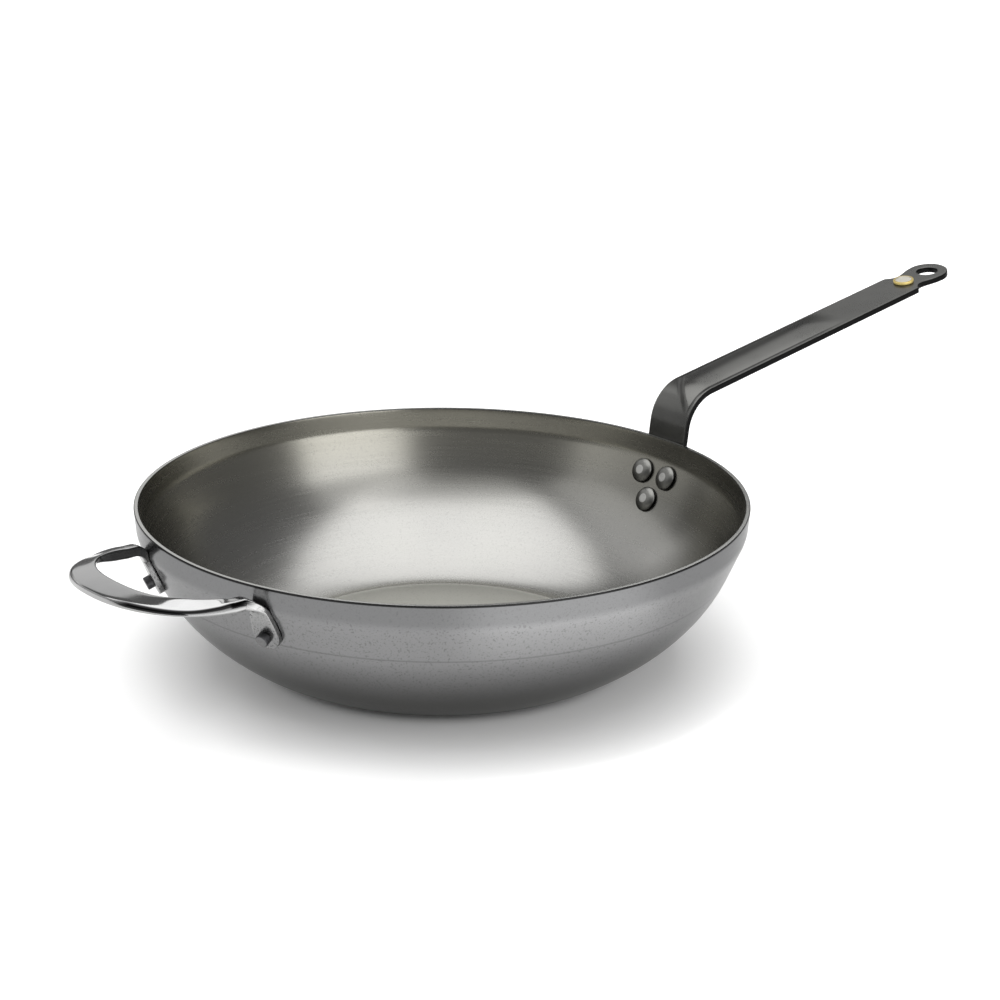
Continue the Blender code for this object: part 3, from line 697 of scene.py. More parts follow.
# %% Thickness, crown and rounded corners of the strap
CORNER = 0.0006
MARGIN = 0.0022
CROWN_RISE = 0.0023
CROWN_START = -0.2090
CROWN_SLANT = 0.0100
CROWN_START_LENGTH = 0.0060
CROWN_END = -0.0800
CROWN_END_LENGTH = 0.0280


def smooth(value, start, run):
    """0 up to the start, 1 from a run after it, and the cubic 3 s^2 - 2 s^3 between. With a run
    under 0 it is 0 from the start on, and 1 up to the run before it."""
    share = np.clip((value - start) / run, 0.0, 1.0)
    return share * share * (3.0 - 2.0 * share)


def strap_raise(flat, distance):
    """Height over the middle: half the thickness, rounded off within CORNER of the edge."""
    over = np.clip(distance, 0.0, CORNER)
    return STRAP_THICKNESS / 2 - CORNER + np.sqrt(CORNER**2 - (CORNER - over) ** 2)


def crown(flat):
    """Rise of the upper face between two flat margins, and the share of it that is reached: a
    parabola across the strap, which starts in the bend along a slant, first on the near side,
    and fades out before the flat end."""
    way, half = flat[..., 0], strap_half_width(flat[..., 0]) - MARGIN
    across = np.clip(flat[..., 1] / np.maximum(half, 0.001), -1.0, 1.0)
    start = CROWN_START + CROWN_SLANT * across
    share = smooth(way, start, CROWN_START_LENGTH) * smooth(way, CROWN_END, -CROWN_END_LENGTH)
    return CROWN_RISE * (1.0 - across**2) * share, share


# %% Grids of the strap's faces
CUT = -NECK_BACK
NEAR_EDGE = np.array([0.0, 0.08, 0.22, 0.45, 0.75, 1.0]) * CORNER
NEAR_MARGIN = [0.0012, 0.0018, MARGIN, 0.0030]
BEND_START, BEND_END = -EYE_REACH - 0.020, -EYE_REACH + 0.045
LEAST_CROSS = 1e-15
HIT_SLACK = 1e-9


def across_shares():
    """Places across the strap from -1 to 1: close together at both corners."""
    near = 1.0 - np.concatenate([NEAR_EDGE, NEAR_MARGIN]) / STRAP_HALF_WIDTH
    middle = np.linspace(0.0, near[-1], 16)[:-1]
    half = np.concatenate([middle, near[::-1]])
    return np.concatenate([-half[:0:-1], half])


def body_grid():
    """Rows from the foot's tip to the neck, close together in the bend."""
    foot = FOOT_START - FOOT_END_LENGTH * np.cos(np.linspace(0.0, math.pi / 2, 24))
    wall = np.linspace(FOOT_START, BEND_START, 14)[1:]
    bend = np.linspace(BEND_START, BEND_END, 90)[1:]
    straight = np.linspace(BEND_END, -SHOULDER_BACK, 60)[1:]
    neck = np.linspace(-SHOULDER_BACK, CUT, 14)[1:]
    way = np.concatenate([foot, wall, bend, straight, neck])
    across = strap_half_width(way)[:, None] * across_shares()
    return np.stack(np.broadcast_arrays(way[:, None], across), axis=-1)


def eye_grid():
    """Rings from the hole out to the outline. The columns that face the body end on its last
    row's points, so both grids share them."""
    row = strap_half_width(np.array([CUT]))[0] * across_shares()
    corner = math.atan2(row[-1], CUT)
    turned = np.linspace(-corner, corner, 90)[1:-1]
    start, end = OUTLINE, np.roll(OUTLINE, -1, axis=0)
    direction = np.column_stack([np.cos(turned), np.sin(turned)])
    along = end - start
    bottom = direction[:, None, 0] * along[:, 1] - direction[:, None, 1] * along[:, 0]
    bottom = np.where(np.abs(bottom) < LEAST_CROSS, LEAST_CROSS, bottom)
    reach = (start[:, 0] * along[:, 1] - start[:, 1] * along[:, 0]) / bottom
    share = (start[:, 0] * direction[:, None, 1] - start[:, 1] * direction[:, None, 0]) / bottom
    hit = (reach > 0) & (share >= -HIT_SLACK) & (share <= 1 + HIT_SLACK)
    out = np.where(hit, reach, np.inf).min(1)
    straight = np.column_stack([np.full(len(row), CUT), row[::-1]])
    rim = np.concatenate([direction * out[:, None], straight])
    length = np.hypot(*rim.T)
    unit = rim / length[:, None]
    inner = HANG_HOLE_RADIUS + NEAR_EDGE
    ends = length[:, None] - NEAR_EDGE[::-1]
    middle = np.linspace(0.0, 1.0, 8)[1:-1]
    between = inner[-1] + (ends[:, :1] - inner[-1]) * middle
    radii = np.concatenate([np.broadcast_to(inner, (len(rim), len(inner))), between, ends], axis=1)
    return radii.T[..., None] * unit


def strap_faces():
    """Upper and lower face of a flat grid, rolled to its place."""
    grids = []
    for flat, closed in ((body_grid(), False), (eye_grid(), True)):
        distance = edge_distance(flat)
        tall = strap_raise(flat, distance)
        for side in (1.0, -1.0):
            rise, share = crown(flat) if side > 0 else (0.0, np.zeros(1))
            raised = side * tall + rise
            fields = {"edge": distance * 1000.0, "flat": np.clip(distance / CORNER, 0.0, 1.0),
                      "crowned": share}
            grids.append((roll(flat, raised), closed, fields, 0))
    return grids


# %% Close the strap's sides and set it on the wall
def strap_sides():
    """Strips between the two faces: along each side of the body, round the eye, in the hole."""
    body, eye = body_grid(), eye_grid()
    count = eye.shape[1] - len(across_shares())
    # The round of the eye starts and ends on the corners of the body's last row.
    rim = np.concatenate([body[-1:, 0], eye[-1, :count], body[-1:, -1]])
    lines = [(body[:, 0], False), (body[:, -1], False), (rim, False), (eye[0], True)]
    straight = STRAP_THICKNESS / 2 - CORNER
    fields = {"edge": np.zeros(1), "flat": np.zeros(1), "crowned": np.zeros(1)}
    strips = []
    for line, closed in lines:
        flat = np.broadcast_to(line, (5, *line.shape))
        raised = np.broadcast_to(np.linspace(straight, -straight, 5)[:, None], flat.shape[:-1])
        strips.append((roll(flat, raised), closed, fields, 0))
    return strips


def seat_on_wall(points):
    """Moves points that would be inside the bowl's wall straight out to just off it."""
    radius = np.hypot(points[..., 0], points[..., 1])
    least = wall_radius(points[..., 2], SEAT_GAP)
    low = points[..., 2] < BOWL_HEIGHT + STRAP_RIM_STANDOFF
    scale = np.where(low & (radius < least), least / radius, 1.0)
    return points * np.stack([scale, scale, np.ones_like(scale)], axis=-1)


STRAP_GRIDS = [(seat_on_wall(points), *rest) for points, *rest in strap_faces() + strap_sides()]
make_piece("strap_surface", STRAP_GRIDS, "long_handle", [STRAP_FINISH])

# %% [markdown]
# ## Rivets
#
# Each rivet has a domed head inside the bowl with a small flat spot, a shank through the wall
# and a short tail outside. It is one turned profile, made in the frame of its place on the wall.

# %% Finishes of the rivets
def make_rivet_finish(name, colour, worn, roughness):
    """A mottled tone, with the worn flat spot, dark specks and a black painted shade line round the
    head.
    """
    made, tree, shader = new_finish(name, 1.0, roughness, colour)
    grain = place_group(tree, BAR_GRAIN, Lines=700.0, Specks=1400.0)
    dimmer, dark = (tuple(share * part for part in colour) for share in (0.8, 0.4))
    tone = blend(tree, ramp(tree, grain["Cloud"], 0.3, 0.7), colour, dimmer)
    tone = blend(tree, times(tree, field(tree, "spot"), 0.8), tone, worn)
    tone = blend(tree, ramp(tree, grain["Speck"], 0.60, 0.72, 0.0, 0.5), tone, dark)
    # Painted shade: a near-black line round the head's edge, where it meets the wall.
    tone = blend(tree, field(tree, "head_shade"), tone, 0.012)
    uneven = added(tree, grain["Speck"], 0.16, roughness - 0.08)
    dress(tree, shader, tone, uneven, grain["Speck"], 0.000030, 0.6)
    return made


RIVET_FINISH = make_rivet_finish("rivet_dark_satin", (0.20, 0.20, 0.19), (0.62, 0.62, 0.60), 0.34)
TAIL_FINISH = make_rivet_finish("rivet_tail_black", (0.075, 0.075, 0.078), 0.20, 0.42)

# %% Sizes and profile of a rivet
RIVET_SHANK_RADIUS = 0.0027
RIVET_HEAD_RADIUS = 0.0070
RIVET_HEAD_HEIGHT = 0.0032
RIVET_HEAD_EDGE = 0.0004
RIVET_SPOT_RADIUS = 0.0023
RIVET_TAIL_RADIUS = 0.0034
RIVET_TAIL_LENGTH = 0.0030
RIVET_TAIL_CHAMFER = 0.0005
RIVET_HEAD_LIP = 0.0001
HEAD_SHADE_SHARES = (0.962, 0.985)
RIVET_COLUMNS = 64


def rivet_profile(stack, tail_length):
    """(radius, height) from the tail's middle to the head's: the dome is a quarter ellipse that
    stops where its radius comes down to the flat spot. With it, for each point, whether it is on
    a flat spot, and the share of the painted shade line at the head's edge."""
    under = -WALL - SEAT_GAP - sag(RIVET_WALL_RADIUS - WALL, RIVET_HEAD_RADIUS)
    seat, top = stack + SEAT_GAP, stack + SEAT_GAP + tail_length
    bend = np.linspace(0.0, math.pi / 2, 6)
    chamfer = RIVET_TAIL_CHAMFER
    tail = np.column_stack([RIVET_TAIL_RADIUS - chamfer * (1 - np.sin(bend)),
                            top - chamfer * (1 - np.cos(bend))])
    stem = [[RIVET_TAIL_RADIUS, seat], [RIVET_SHANK_RADIUS, seat],
            [RIVET_SHANK_RADIUS, under], [RIVET_HEAD_RADIUS - RIVET_HEAD_LIP, under]]
    last = math.acos(RIVET_SPOT_RADIUS / RIVET_HEAD_RADIUS)
    angle = np.linspace(0.0, last, 22)
    rise = (RIVET_HEAD_HEIGHT - RIVET_HEAD_EDGE) * np.sin(angle) / math.sin(last)
    dome = np.column_stack([RIVET_HEAD_RADIUS * np.cos(angle), under - RIVET_HEAD_EDGE - rise])
    spot = level(RIVET_SPOT_RADIUS, 0.0, under - RIVET_HEAD_HEIGHT, 6)[1:]
    tail_end = level(0.0, RIVET_TAIL_RADIUS - chamfer, top, 6)[:-1]
    profile = np.concatenate([tail_end, tail, stem, dome, spot])
    flat = np.zeros(len(profile))
    flat[:len(tail_end) + 1] = flat[-len(spot) - 1:] = 1.0
    head_shade_radii = [RIVET_HEAD_RADIUS * share for share in HEAD_SHADE_SHARES]
    head_shade = np.interp(profile[:, 0], head_shade_radii, [0.0, 1.0])
    return profile, flat, head_shade


def wall_matrix(depth, azimuth):
    """Turns local points so that Z stands out of the wall and X runs down it, at that place."""
    radius, lean = wall_spot(depth)
    outward = np.array([math.cos(lean), 0.0, -math.sin(lean)])
    sideways = np.array([0.0, 1.0, 0.0])
    basis = np.column_stack([np.cross(sideways, outward), sideways, outward])
    turned = np.array([[math.cos(azimuth), -math.sin(azimuth), 0.0],
                       [math.sin(azimuth), math.cos(azimuth), 0.0], [0.0, 0.0, 1.0]])
    return turned @ basis, turned @ np.array([radius, 0.0, BOWL_HEIGHT - depth])


def make_rivet(node, finish, depth, azimuth, stack, tail_length):
    """A rivet at a place on the wall, through a stack of that thickness."""
    profile, spot, head_shade = rivet_profile(stack, tail_length)
    basis, centre = wall_matrix(depth, azimuth)
    grid = turn(profile, RIVET_COLUMNS) @ basis.T + centre
    fields = {"spot": spot[:, None], "head_shade": head_shade[:, None]}
    make_piece(node + "_surface", [(grid, True, fields, 0)], node, [finish])


# %% The three rivets of the strap
LOWER_SLACK = 0.0001
STRAP_LIFT = SEAT_GAP - STRAP_SAG + STRAP_THICKNESS
SIDE_AZIMUTH = math.asin(UPPER_RIVET_SIDE / RIVET_WALL_RADIUS)
SIDE_STACK = (STRAP_LIFT + RIVET_WALL_RADIUS * (1 - math.cos(SIDE_AZIMUTH))
              + RIVET_TAIL_RADIUS * math.sin(SIDE_AZIMUTH))
LOWER_STACK = STRAP_LIFT + LOWER_SLACK
for node, depth, azimuth, stack in (
    ("handle_rivet_1", UPPER_RIVET_DEPTH, -SIDE_AZIMUTH, SIDE_STACK),
    ("handle_rivet_2", UPPER_RIVET_DEPTH, SIDE_AZIMUTH, SIDE_STACK),
    ("handle_rivet_3", LOWER_RIVET_DEPTH, 0.0, LOWER_STACK),
):
    make_rivet(node, RIVET_FINISH, depth, azimuth, stack, RIVET_TAIL_LENGTH)

# %% [markdown]
# ## The medallion
#
# A small brass stud near the strap's end: a raised ring round a plain, pale, slightly recessed
# face. Turned like the rivets, it stands in the plane of the strap's top face.

# %% Finishes of the medallion
def make_brass_finish():
    """Olive brass on the ring's top with small dark specks; its outer side is painted paler, as
    painted light.
    """
    made, tree, shader = new_finish("medallion_ring_brass", 0.35, 0.3, (0.62, 0.46, 0.16))
    grain = place_group(tree, BAR_GRAIN, Lines=1200.0, Specks=2200.0)
    cloud = ramp(tree, grain["Cloud"], 0.35, 0.65)
    tone = blend(tree, cloud, (0.33, 0.235, 0.055), (0.42, 0.31, 0.08))
    # Painted light: the ring's outer side is painted paler than its top.
    tone = blend(tree, field(tree, "side"), tone, (0.95, 0.76, 0.27))
    tone = blend(tree, ramp(tree, grain["Speck"], 0.6, 0.75, 0.0, 0.4), tone, (0.26, 0.18, 0.06))
    roughness = added(tree, grain["Speck"], 0.2, 0.22)
    dress(tree, shader, tone, roughness, grain["Speck"], 0.000020, 0.5)
    return made


def make_face_finish():
    """A pale warm grey, clouded, with a faint grain."""
    made, tree, shader = new_finish("medallion_face_pale", 0.4, 0.3, (0.50, 0.48, 0.42))
    grain = place_group(tree, BAR_GRAIN, Lines=1600.0, Specks=2600.0)
    cloud = ramp(tree, grain["Cloud"], 0.35, 0.65)
    tone = blend(tree, cloud, (0.37, 0.355, 0.30), (0.50, 0.48, 0.42))
    roughness = added(tree, grain["Streak"], 0.2, 0.2)
    dress(tree, shader, tone, roughness, grain["Streak"], 0.000010, 0.5)
    return made


BRASS_FINISH, FACE_FINISH = make_brass_finish(), make_face_finish()

# %% Turn the medallion
STUD_BACK = 0.0210
STUD_RADIUS = 0.0060
STUD_HEIGHT = 0.0016
STUD_RING_WIDTH = 0.0014
STUD_RECESS = 0.0004
STUD_SHANK_RADIUS = 0.0025
STUD_BUTTON_RADIUS = 0.0040
STUD_BUTTON_HEIGHT = 0.0008
STUD_BUTTON_CHAMFER = 0.0003
STUD_COLUMNS = 72
FACE_GAP = 0.0001
SIDE_MARGIN = 0.00015
FACE_SHARE = 4


def make_medallion():
    """The ring's top is a half circle of small rise between the face and the outer side. The pale
    finish goes a few points up the ring, and the brass has the rest of the profile."""
    top, low = SEAT_GAP + STUD_HEIGHT, -STRAP_THICKNESS - SEAT_GAP
    ring_in = STUD_RADIUS - STUD_RING_WIDTH
    face = level(0.0, ring_in - FACE_GAP, top - STUD_RECESS, 12)
    angle = np.linspace(math.pi, 0.0, 14)
    ring = np.column_stack([ring_in + STUD_RING_WIDTH / 2 * (1 + np.cos(angle)),
                            top - STUD_RECESS * (1 - np.sin(angle))])
    button = low - STUD_BUTTON_HEIGHT
    rest = [[STUD_RADIUS, SEAT_GAP], [STUD_SHANK_RADIUS, SEAT_GAP], [STUD_SHANK_RADIUS, low],
            [STUD_BUTTON_RADIUS, low], [STUD_BUTTON_RADIUS, button + STUD_BUTTON_CHAMFER],
            [STUD_BUTTON_RADIUS - STUD_BUTTON_CHAMFER, button], [0.0, button]]
    eye = RIM_RADIUS + EYE_REACH * math.cos(STRAP_SLOPE)
    along, up = math.cos(STRAP_SLOPE), math.sin(STRAP_SLOPE)
    basis = np.array([[along, 0.0, -up], [0.0, 1.0, 0.0], [up, 0.0, along]])
    centre = np.array([eye, 0.0, strap_height(eye)]) - STUD_BACK * basis[:, 0]
    brass = np.concatenate([ring[FACE_SHARE:], rest])
    grids = []
    for number, profile in ((1, np.concatenate([face, ring[:FACE_SHARE + 1]])), (0, brass)):
        # The ring's outer side, which the brass finish paints paler as painted light.
        side = number == 0 and profile[:, 0] > STUD_RADIUS - SIDE_MARGIN
        fields = {"side": np.broadcast_to(side, len(profile))[:, None].astype(float)}
        grids.append((turn(profile, STUD_COLUMNS) @ basis.T + centre, True, fields, number))
    make_piece("medallion_surface", grids, "medallion",
               [BRASS_FINISH, FACE_FINISH])


make_medallion()

# %% [markdown]
# ## The helper loop
#
# The loop opposite the strap is one casting: a low wide grip, two arms that grow tall and narrow,
# and two pads that bend down onto the wall. Its section is a superellipse stretched over four
# corner lines, so the corners can be drawn one by one and the bar follows them.

# %% Sizes of the helper loop
LOOP_REACH = 0.0550
LOOP_HALF_WIDTH = 0.0513
LOOP_OUTER_POWER = 2.3
LOOP_INNER_POWER = 2.4
GRIP_WIDTH = 0.0158
ARM_WIDTH = 0.0073
ARM_END_REACH = 0.0025
LOOP_RISE = math.radians(6.3)
INNER_EDGE_DROP = 0.0002
GRIP_OUTER_FALL = 0.0025
ARM_OUTER_FALL = 0.0004
GRIP_OUTER_HEIGHT = 0.0038
ARM_OUTER_HEIGHT = 0.0056
GRIP_INNER_HEIGHT = 0.0030
ARM_INNER_HEIGHT = 0.0060
ARM_GROWTH_START = 0.0080
ARM_GROWTH_LENGTH = 0.0200
SHOULDER_GROWTH_START = 0.0240
SHOULDER_GROWTH_LENGTH = 0.0230
LOOP_END_ANGLE = math.radians(2.5)
SECTION_POWER = 6.0
PAD_AZIMUTH = math.radians(18.3)
PAD_RIVET_DEPTH = 0.0252
PAD_HALF_WIDTH = 0.0074
PAD_THICKNESS = 0.0032
PAD_END_LENGTH = 0.0073
PAD_SEAT_SINK = 0.0004
PAD_BEND_RADIUS = 0.0062
PAD_BEND_STEPS = 16
PAD_END_SHARE = 0.999
HELPER_TAIL_LENGTH = 0.0036
SPOT_FACE_DEPTH = 0.00015
TWIST_OUTER_FALL = 0.0012
TWIST_INNER_RISE = 0.0009
NEAR_TWIST, FAR_TWIST = 1.0, 0.1
BEVEL_WIDTH = 0.0012
BEVEL_SHARE = 0.5
# Stations are counted from the grip's middle to the arm's end. The twist and the bevel each start
# at one of them, grow over a run, and fade over an end run.
LOOP_STATIONS = 72
TWIST_START, TWIST_RUN, TWIST_END_RUN = 22, 26, 7
BEVEL_START, BEVEL_RUN, BEVEL_END_RUN = 8, 14, 8
SECTION_POINTS = 72
HELPER_SHARP_ANGLE = 50.0
PAD_FADE = (-0.3, 1.6)
# Borders of the painted shade on the section: a start from 0 to 1, inner to outer side or bottom to
# top, and the run over which the tone changes.
INNER_SHADE_SIDE, INNER_SHADE_TOP = (0.10, -0.08), (0.9, 0.1)
SHADE_SIDE, SHADE_LOW, SHADE_TOP = (0.9, 0.08), (0.5, 0.06), (0.995, -0.03)


# %% Corner lines of the bar, round half of the loop
def loop_edge(angle, reach, half_width, power):
    """Superellipse in plan: along and across are powers of the angle's sine and cosine."""
    end = RIM_RADIUS + ARM_END_REACH
    across = half_width * np.abs(np.cos(angle)) ** (2.0 / power)
    along = end + (reach - end) * np.sin(angle) ** (2.0 / power)
    return np.column_stack([-along, across])


def loop_corners(twist_share):
    """Outer top, inner top, outer low and inner low corner at each station, grip to arm. The top
    of an arm leans outward by its share of the twist."""
    station = np.arange(LOOP_STATIONS)
    angle = np.linspace(math.pi / 2, LOOP_END_ANGLE, LOOP_STATIONS)
    reach = RIM_RADIUS + LOOP_REACH
    inner_reach = reach - GRIP_WIDTH
    outer = loop_edge(angle, reach, LOOP_HALF_WIDTH, LOOP_OUTER_POWER)
    inner = loop_edge(angle, inner_reach, LOOP_HALF_WIDTH - ARM_WIDTH, LOOP_INNER_POWER)
    outer[0, 1] = inner[0, 1] = 0.0
    grow = smooth(inner_reach + inner[:, 0], ARM_GROWTH_START, ARM_GROWTH_LENGTH)
    late = smooth(reach + outer[:, 0], SHOULDER_GROWTH_START, SHOULDER_GROWTH_LENGTH)
    top = BOWL_HEIGHT - INNER_EDGE_DROP
    inner_z = top - math.tan(LOOP_RISE) * (inner_reach + inner[:, 0])
    outer_z = top - math.tan(LOOP_RISE) * (inner_reach + outer[:, 0])
    outer_z -= GRIP_OUTER_FALL + (ARM_OUTER_FALL - GRIP_OUTER_FALL) * late
    outer_low = outer_z - (GRIP_OUTER_HEIGHT + (ARM_OUTER_HEIGHT - GRIP_OUTER_HEIGHT) * late)
    inner_low = inner_z - (GRIP_INNER_HEIGHT + (ARM_INNER_HEIGHT - GRIP_INNER_HEIGHT) * grow)
    twist = twist_share * smooth(station, TWIST_START, TWIST_RUN)
    twist = twist * smooth(station, LOOP_STATIONS - 1, -TWIST_END_RUN)
    outer_z = outer_z - TWIST_OUTER_FALL * twist
    inner_z = inner_z + TWIST_INNER_RISE * twist
    lines = ((outer, outer_z), (inner, inner_z), (outer, outer_low), (inner, inner_low))
    return np.stack([np.column_stack([plan, z]) for plan, z in lines], axis=1)


# %% Corner lines of the pad, bent down the wall
def pad_corners(arm):
    """A quarter circle turns the bar down, it widens to the pad as a sine, and past the rivet the
    pad ends in a half ellipse. Each station is a rectangle square to the way through it."""
    start = arm.mean(0)
    width = arm[0] + arm[2] - arm[1] - arm[3]
    width /= np.linalg.norm(width)
    arm_half = np.linalg.norm(arm[0] - arm[1]) / 2
    arm_thick = np.linalg.norm(arm[0] - arm[2]) / 2
    lift = (PAD_THICKNESS - PAD_SEAT_SINK) / 2
    thick = (PAD_THICKNESS + PAD_SEAT_SINK) / 2
    first_depth = BOWL_HEIGHT - start[2]
    pad_lean = wall_spot(PAD_RIVET_DEPTH)[1]
    pad_across = (wall_spot(first_depth + PAD_BEND_RADIUS)[0] + lift) * math.sin(PAD_AZIMUTH)
    share = np.linspace(0.0, 1.0, PAD_BEND_STEPS + 1)
    turned = math.pi / 2 * share
    bend_end = first_depth + PAD_BEND_RADIUS
    run = bend_end + (PAD_RIVET_DEPTH - bend_end) * np.linspace(0.0, 1.0, 9)[1:]
    end = PAD_END_LENGTH * (np.sin(np.linspace(0.0, math.pi / 2, 12))[1:] * PAD_END_SHARE)
    bend = first_depth + PAD_BEND_RADIUS * (1 - np.cos(turned))
    depth = np.concatenate([bend, run, PAD_RIVET_DEPTH + end])
    rest = len(depth) - len(share)
    over = np.concatenate([lift + PAD_BEND_RADIUS * (1 - np.sin(turned)), np.full(rest, lift)])
    tall = np.concatenate([arm_thick + (thick - arm_thick) * share, np.full(rest, thick)])
    share = np.concatenate([share, np.ones(rest)])
    spread = np.clip((depth - first_depth) / (PAD_RIVET_DEPTH - first_depth), 0.0, 1.0)
    past = np.clip((depth - PAD_RIVET_DEPTH) / PAD_END_LENGTH, 0.0, 1.0)
    wide = arm_half + (PAD_HALF_WIDTH - arm_half) * np.sin(math.pi / 2 * spread)
    wide = wide * np.sqrt(1 - past**2)
    wall = np.interp(depth, WALL_DEPTHS, WALL_LINE[:, 0])
    beside = start[1] + (pad_across - start[1]) * share
    azimuth = np.arcsin(np.clip(beside / (wall + over), -1, 1))
    azimuth = np.where(share < 1.0, azimuth, PAD_AZIMUTH)
    zero = np.zeros_like(depth)
    radial = np.column_stack([-np.cos(azimuth), np.sin(azimuth), zero])
    sideways = np.column_stack([np.sin(azimuth), np.cos(azimuth), zero])
    lean = pad_lean * share
    outward = radial * np.cos(lean)[:, None] - np.column_stack([zero, zero, np.sin(lean)])
    seat = radial * wall[:, None] + np.column_stack([zero, zero, BOWL_HEIGHT - depth])
    centre = seat + outward * over[:, None]
    padded = np.concatenate([start[None], centre, centre[-1:]])
    ahead = padded[2:] - padded[:-2]
    ahead /= np.linalg.norm(ahead, axis=1)[:, None]
    across = width + (sideways - width) * share[:, None]
    across -= ahead * (across * ahead).sum(1)[:, None]
    across /= np.linalg.norm(across, axis=1)[:, None]
    upward = np.cross(ahead, across) * tall[:, None]
    side = across * wide[:, None]
    return np.stack([centre + side * x + upward * y for y in (1, -1) for x in (1, -1)], axis=1)


# %% Finish of the helper loop
def make_helper_finish():
    """Polished cast steel, with painted shade on the loop's inner side and a painted shade line
    along its outer top edge; dull and pitted on the pads."""
    made, tree, shader = new_finish("cast_steel_polished", 1.0, 0.10, (0.36, 0.36, 0.36))
    grain = place_group(tree, BAR_GRAIN, Lines=500.0, Specks=1300.0)
    pad = field(tree, "pad")
    tone = blend(tree, ramp(tree, grain["Cloud"], 0.35, 0.65), 0.325, (0.365, 0.365, 0.362))
    pits = times(tree, ramp(tree, grain["Speck"], 0.50, 0.66), pad)
    for share, layer in ((field(tree, "inner_shade"), 0.13), (times(tree, pad, 0.8), 0.24),
                         (field(tree, "shaded"), 0.012), (pits, 0.09)):
        tone = blend(tree, share, tone, layer)
    roughness = added(tree, pad, 0.20, added(tree, grain["Speck"], 0.08, 0.06))
    height = added(tree, grain["Cloud"], 1.5, times(tree, grain["Speck"], pad))
    dress(tree, shader, tone, roughness, height, 0.000040, 0.5)
    return made


HELPER_FINISH = make_helper_finish()


# %% Sweep the section along the corner lines
def mirrored(half):
    """Values of the stations from one pad's end over the grip to the other's."""
    return np.concatenate([half[::-1][:-1], half])


def make_helper():
    """Each section point is the blend of four corners by its place (x, y) on a superellipse, with
    x from the inner to the outer side and y from the bottom to the top."""
    corners = loop_corners(NEAR_TWIST)
    pads = pad_corners(corners[-1])
    near = np.concatenate([corners, pads]) * [1.0, -1.0, 1.0]
    far = np.concatenate([loop_corners(FAR_TWIST), pads])
    stations = np.concatenate([near[::-1][:-1], far])
    on_pad = np.clip(np.linspace(*PAD_FADE, len(pads)), 0.0, 1.0)
    pad = mirrored(np.concatenate([np.zeros(LOOP_STATIONS), on_pad]))[:, None]
    station = np.arange(len(far))
    bevel = smooth(station, BEVEL_START, BEVEL_RUN)
    bevel = bevel * smooth(station, LOOP_STATIONS + BEVEL_END_RUN, -BEVEL_END_RUN)
    bevel = mirrored(bevel)[:, None]
    angle = math.tau * (np.arange(SECTION_POINTS) + 0.5) / SECTION_POINTS
    x, y = (0.5 + 0.5 * np.copysign(np.abs(turned) ** (2.0 / SECTION_POWER), turned)
            for turned in (np.cos(angle), np.sin(angle)))
    weights = np.stack([x * y, (1 - x) * y, x * (1 - y), (1 - x) * (1 - y)], axis=0)
    grid = np.einsum("skc,ka->sac", stations, weights)
    # The upper part of the outer side leans in by the bevel, and the top's outer half with it.
    lean = np.clip((y - 1.0 + BEVEL_SHARE) / BEVEL_SHARE, 0.0, 1.0) * smooth(x, 0.5, 0.5)
    inward = stations[:, 1] - stations[:, 0]
    inward = inward / np.linalg.norm(inward, axis=1)[:, None]
    grid = grid + BEVEL_WIDTH * bevel[..., None] * lean[:, None] * inward[:, None]
    # Painted shade: the loop's inner side, and a line along the outer top edge on the bevel.
    inner_shade = (1.0 - pad) * smooth(x, *INNER_SHADE_SIDE) * (1.0 - smooth(y, *INNER_SHADE_TOP))
    shaded = bevel * smooth(x, *SHADE_SIDE) * smooth(y, *SHADE_LOW) * smooth(y, *SHADE_TOP)
    grids = [(seat_on_wall(grid), True, {"pad": pad, "inner_shade": inner_shade, "shaded": shaded}, 0)]
    for ring in (grid[0], grid[-1]):
        cap = np.stack([np.broadcast_to(ring.mean(0), ring.shape), ring])
        fields = {"pad": np.ones(1), "inner_shade": np.zeros(1), "shaded": np.zeros(1)}
        grids.append((seat_on_wall(cap), True, fields, 0))
    make_piece("helper_surface", grids, "helper_handle", [HELPER_FINISH],
               HELPER_SHARP_ANGLE)


make_helper()

# %% The two rivets of the helper loop
for node, side in (("helper_rivet_1", -1.0), ("helper_rivet_2", 1.0)):
    make_rivet(node, TAIL_FINISH, PAD_RIVET_DEPTH, math.pi + side * PAD_AZIMUTH,
               PAD_THICKNESS - SPOT_FACE_DEPTH, HELPER_TAIL_LENGTH)

# %% [markdown]
# ## Floor, light and camera
#
# A product table: one pale floor that fills the view, a row of level softboxes overhead whose
# reflection lights the inside of the bowl, and softboxes round about that the outside of the
# bowl, the strap and the loop mirror. The floor also glows by itself, as painted light: none under
# the pan, a little round it to lift its shadow, more away from it and behind it, and a painted
# patch of light on one side in front, where the bowl's wall mirrors it.

# %% Floor
CAMERA_AZIMUTH = math.radians(-129.0)
PAINTED_POOL_AZIMUTH = CAMERA_AZIMUTH + math.radians(34.0)
FLOOR_HALF = 9.0
FLOOR_DROP = 0.0004


def heading(azimuth):
    """The level unit vector that points that way."""
    return math.cos(azimuth), math.sin(azimuth), 0.0


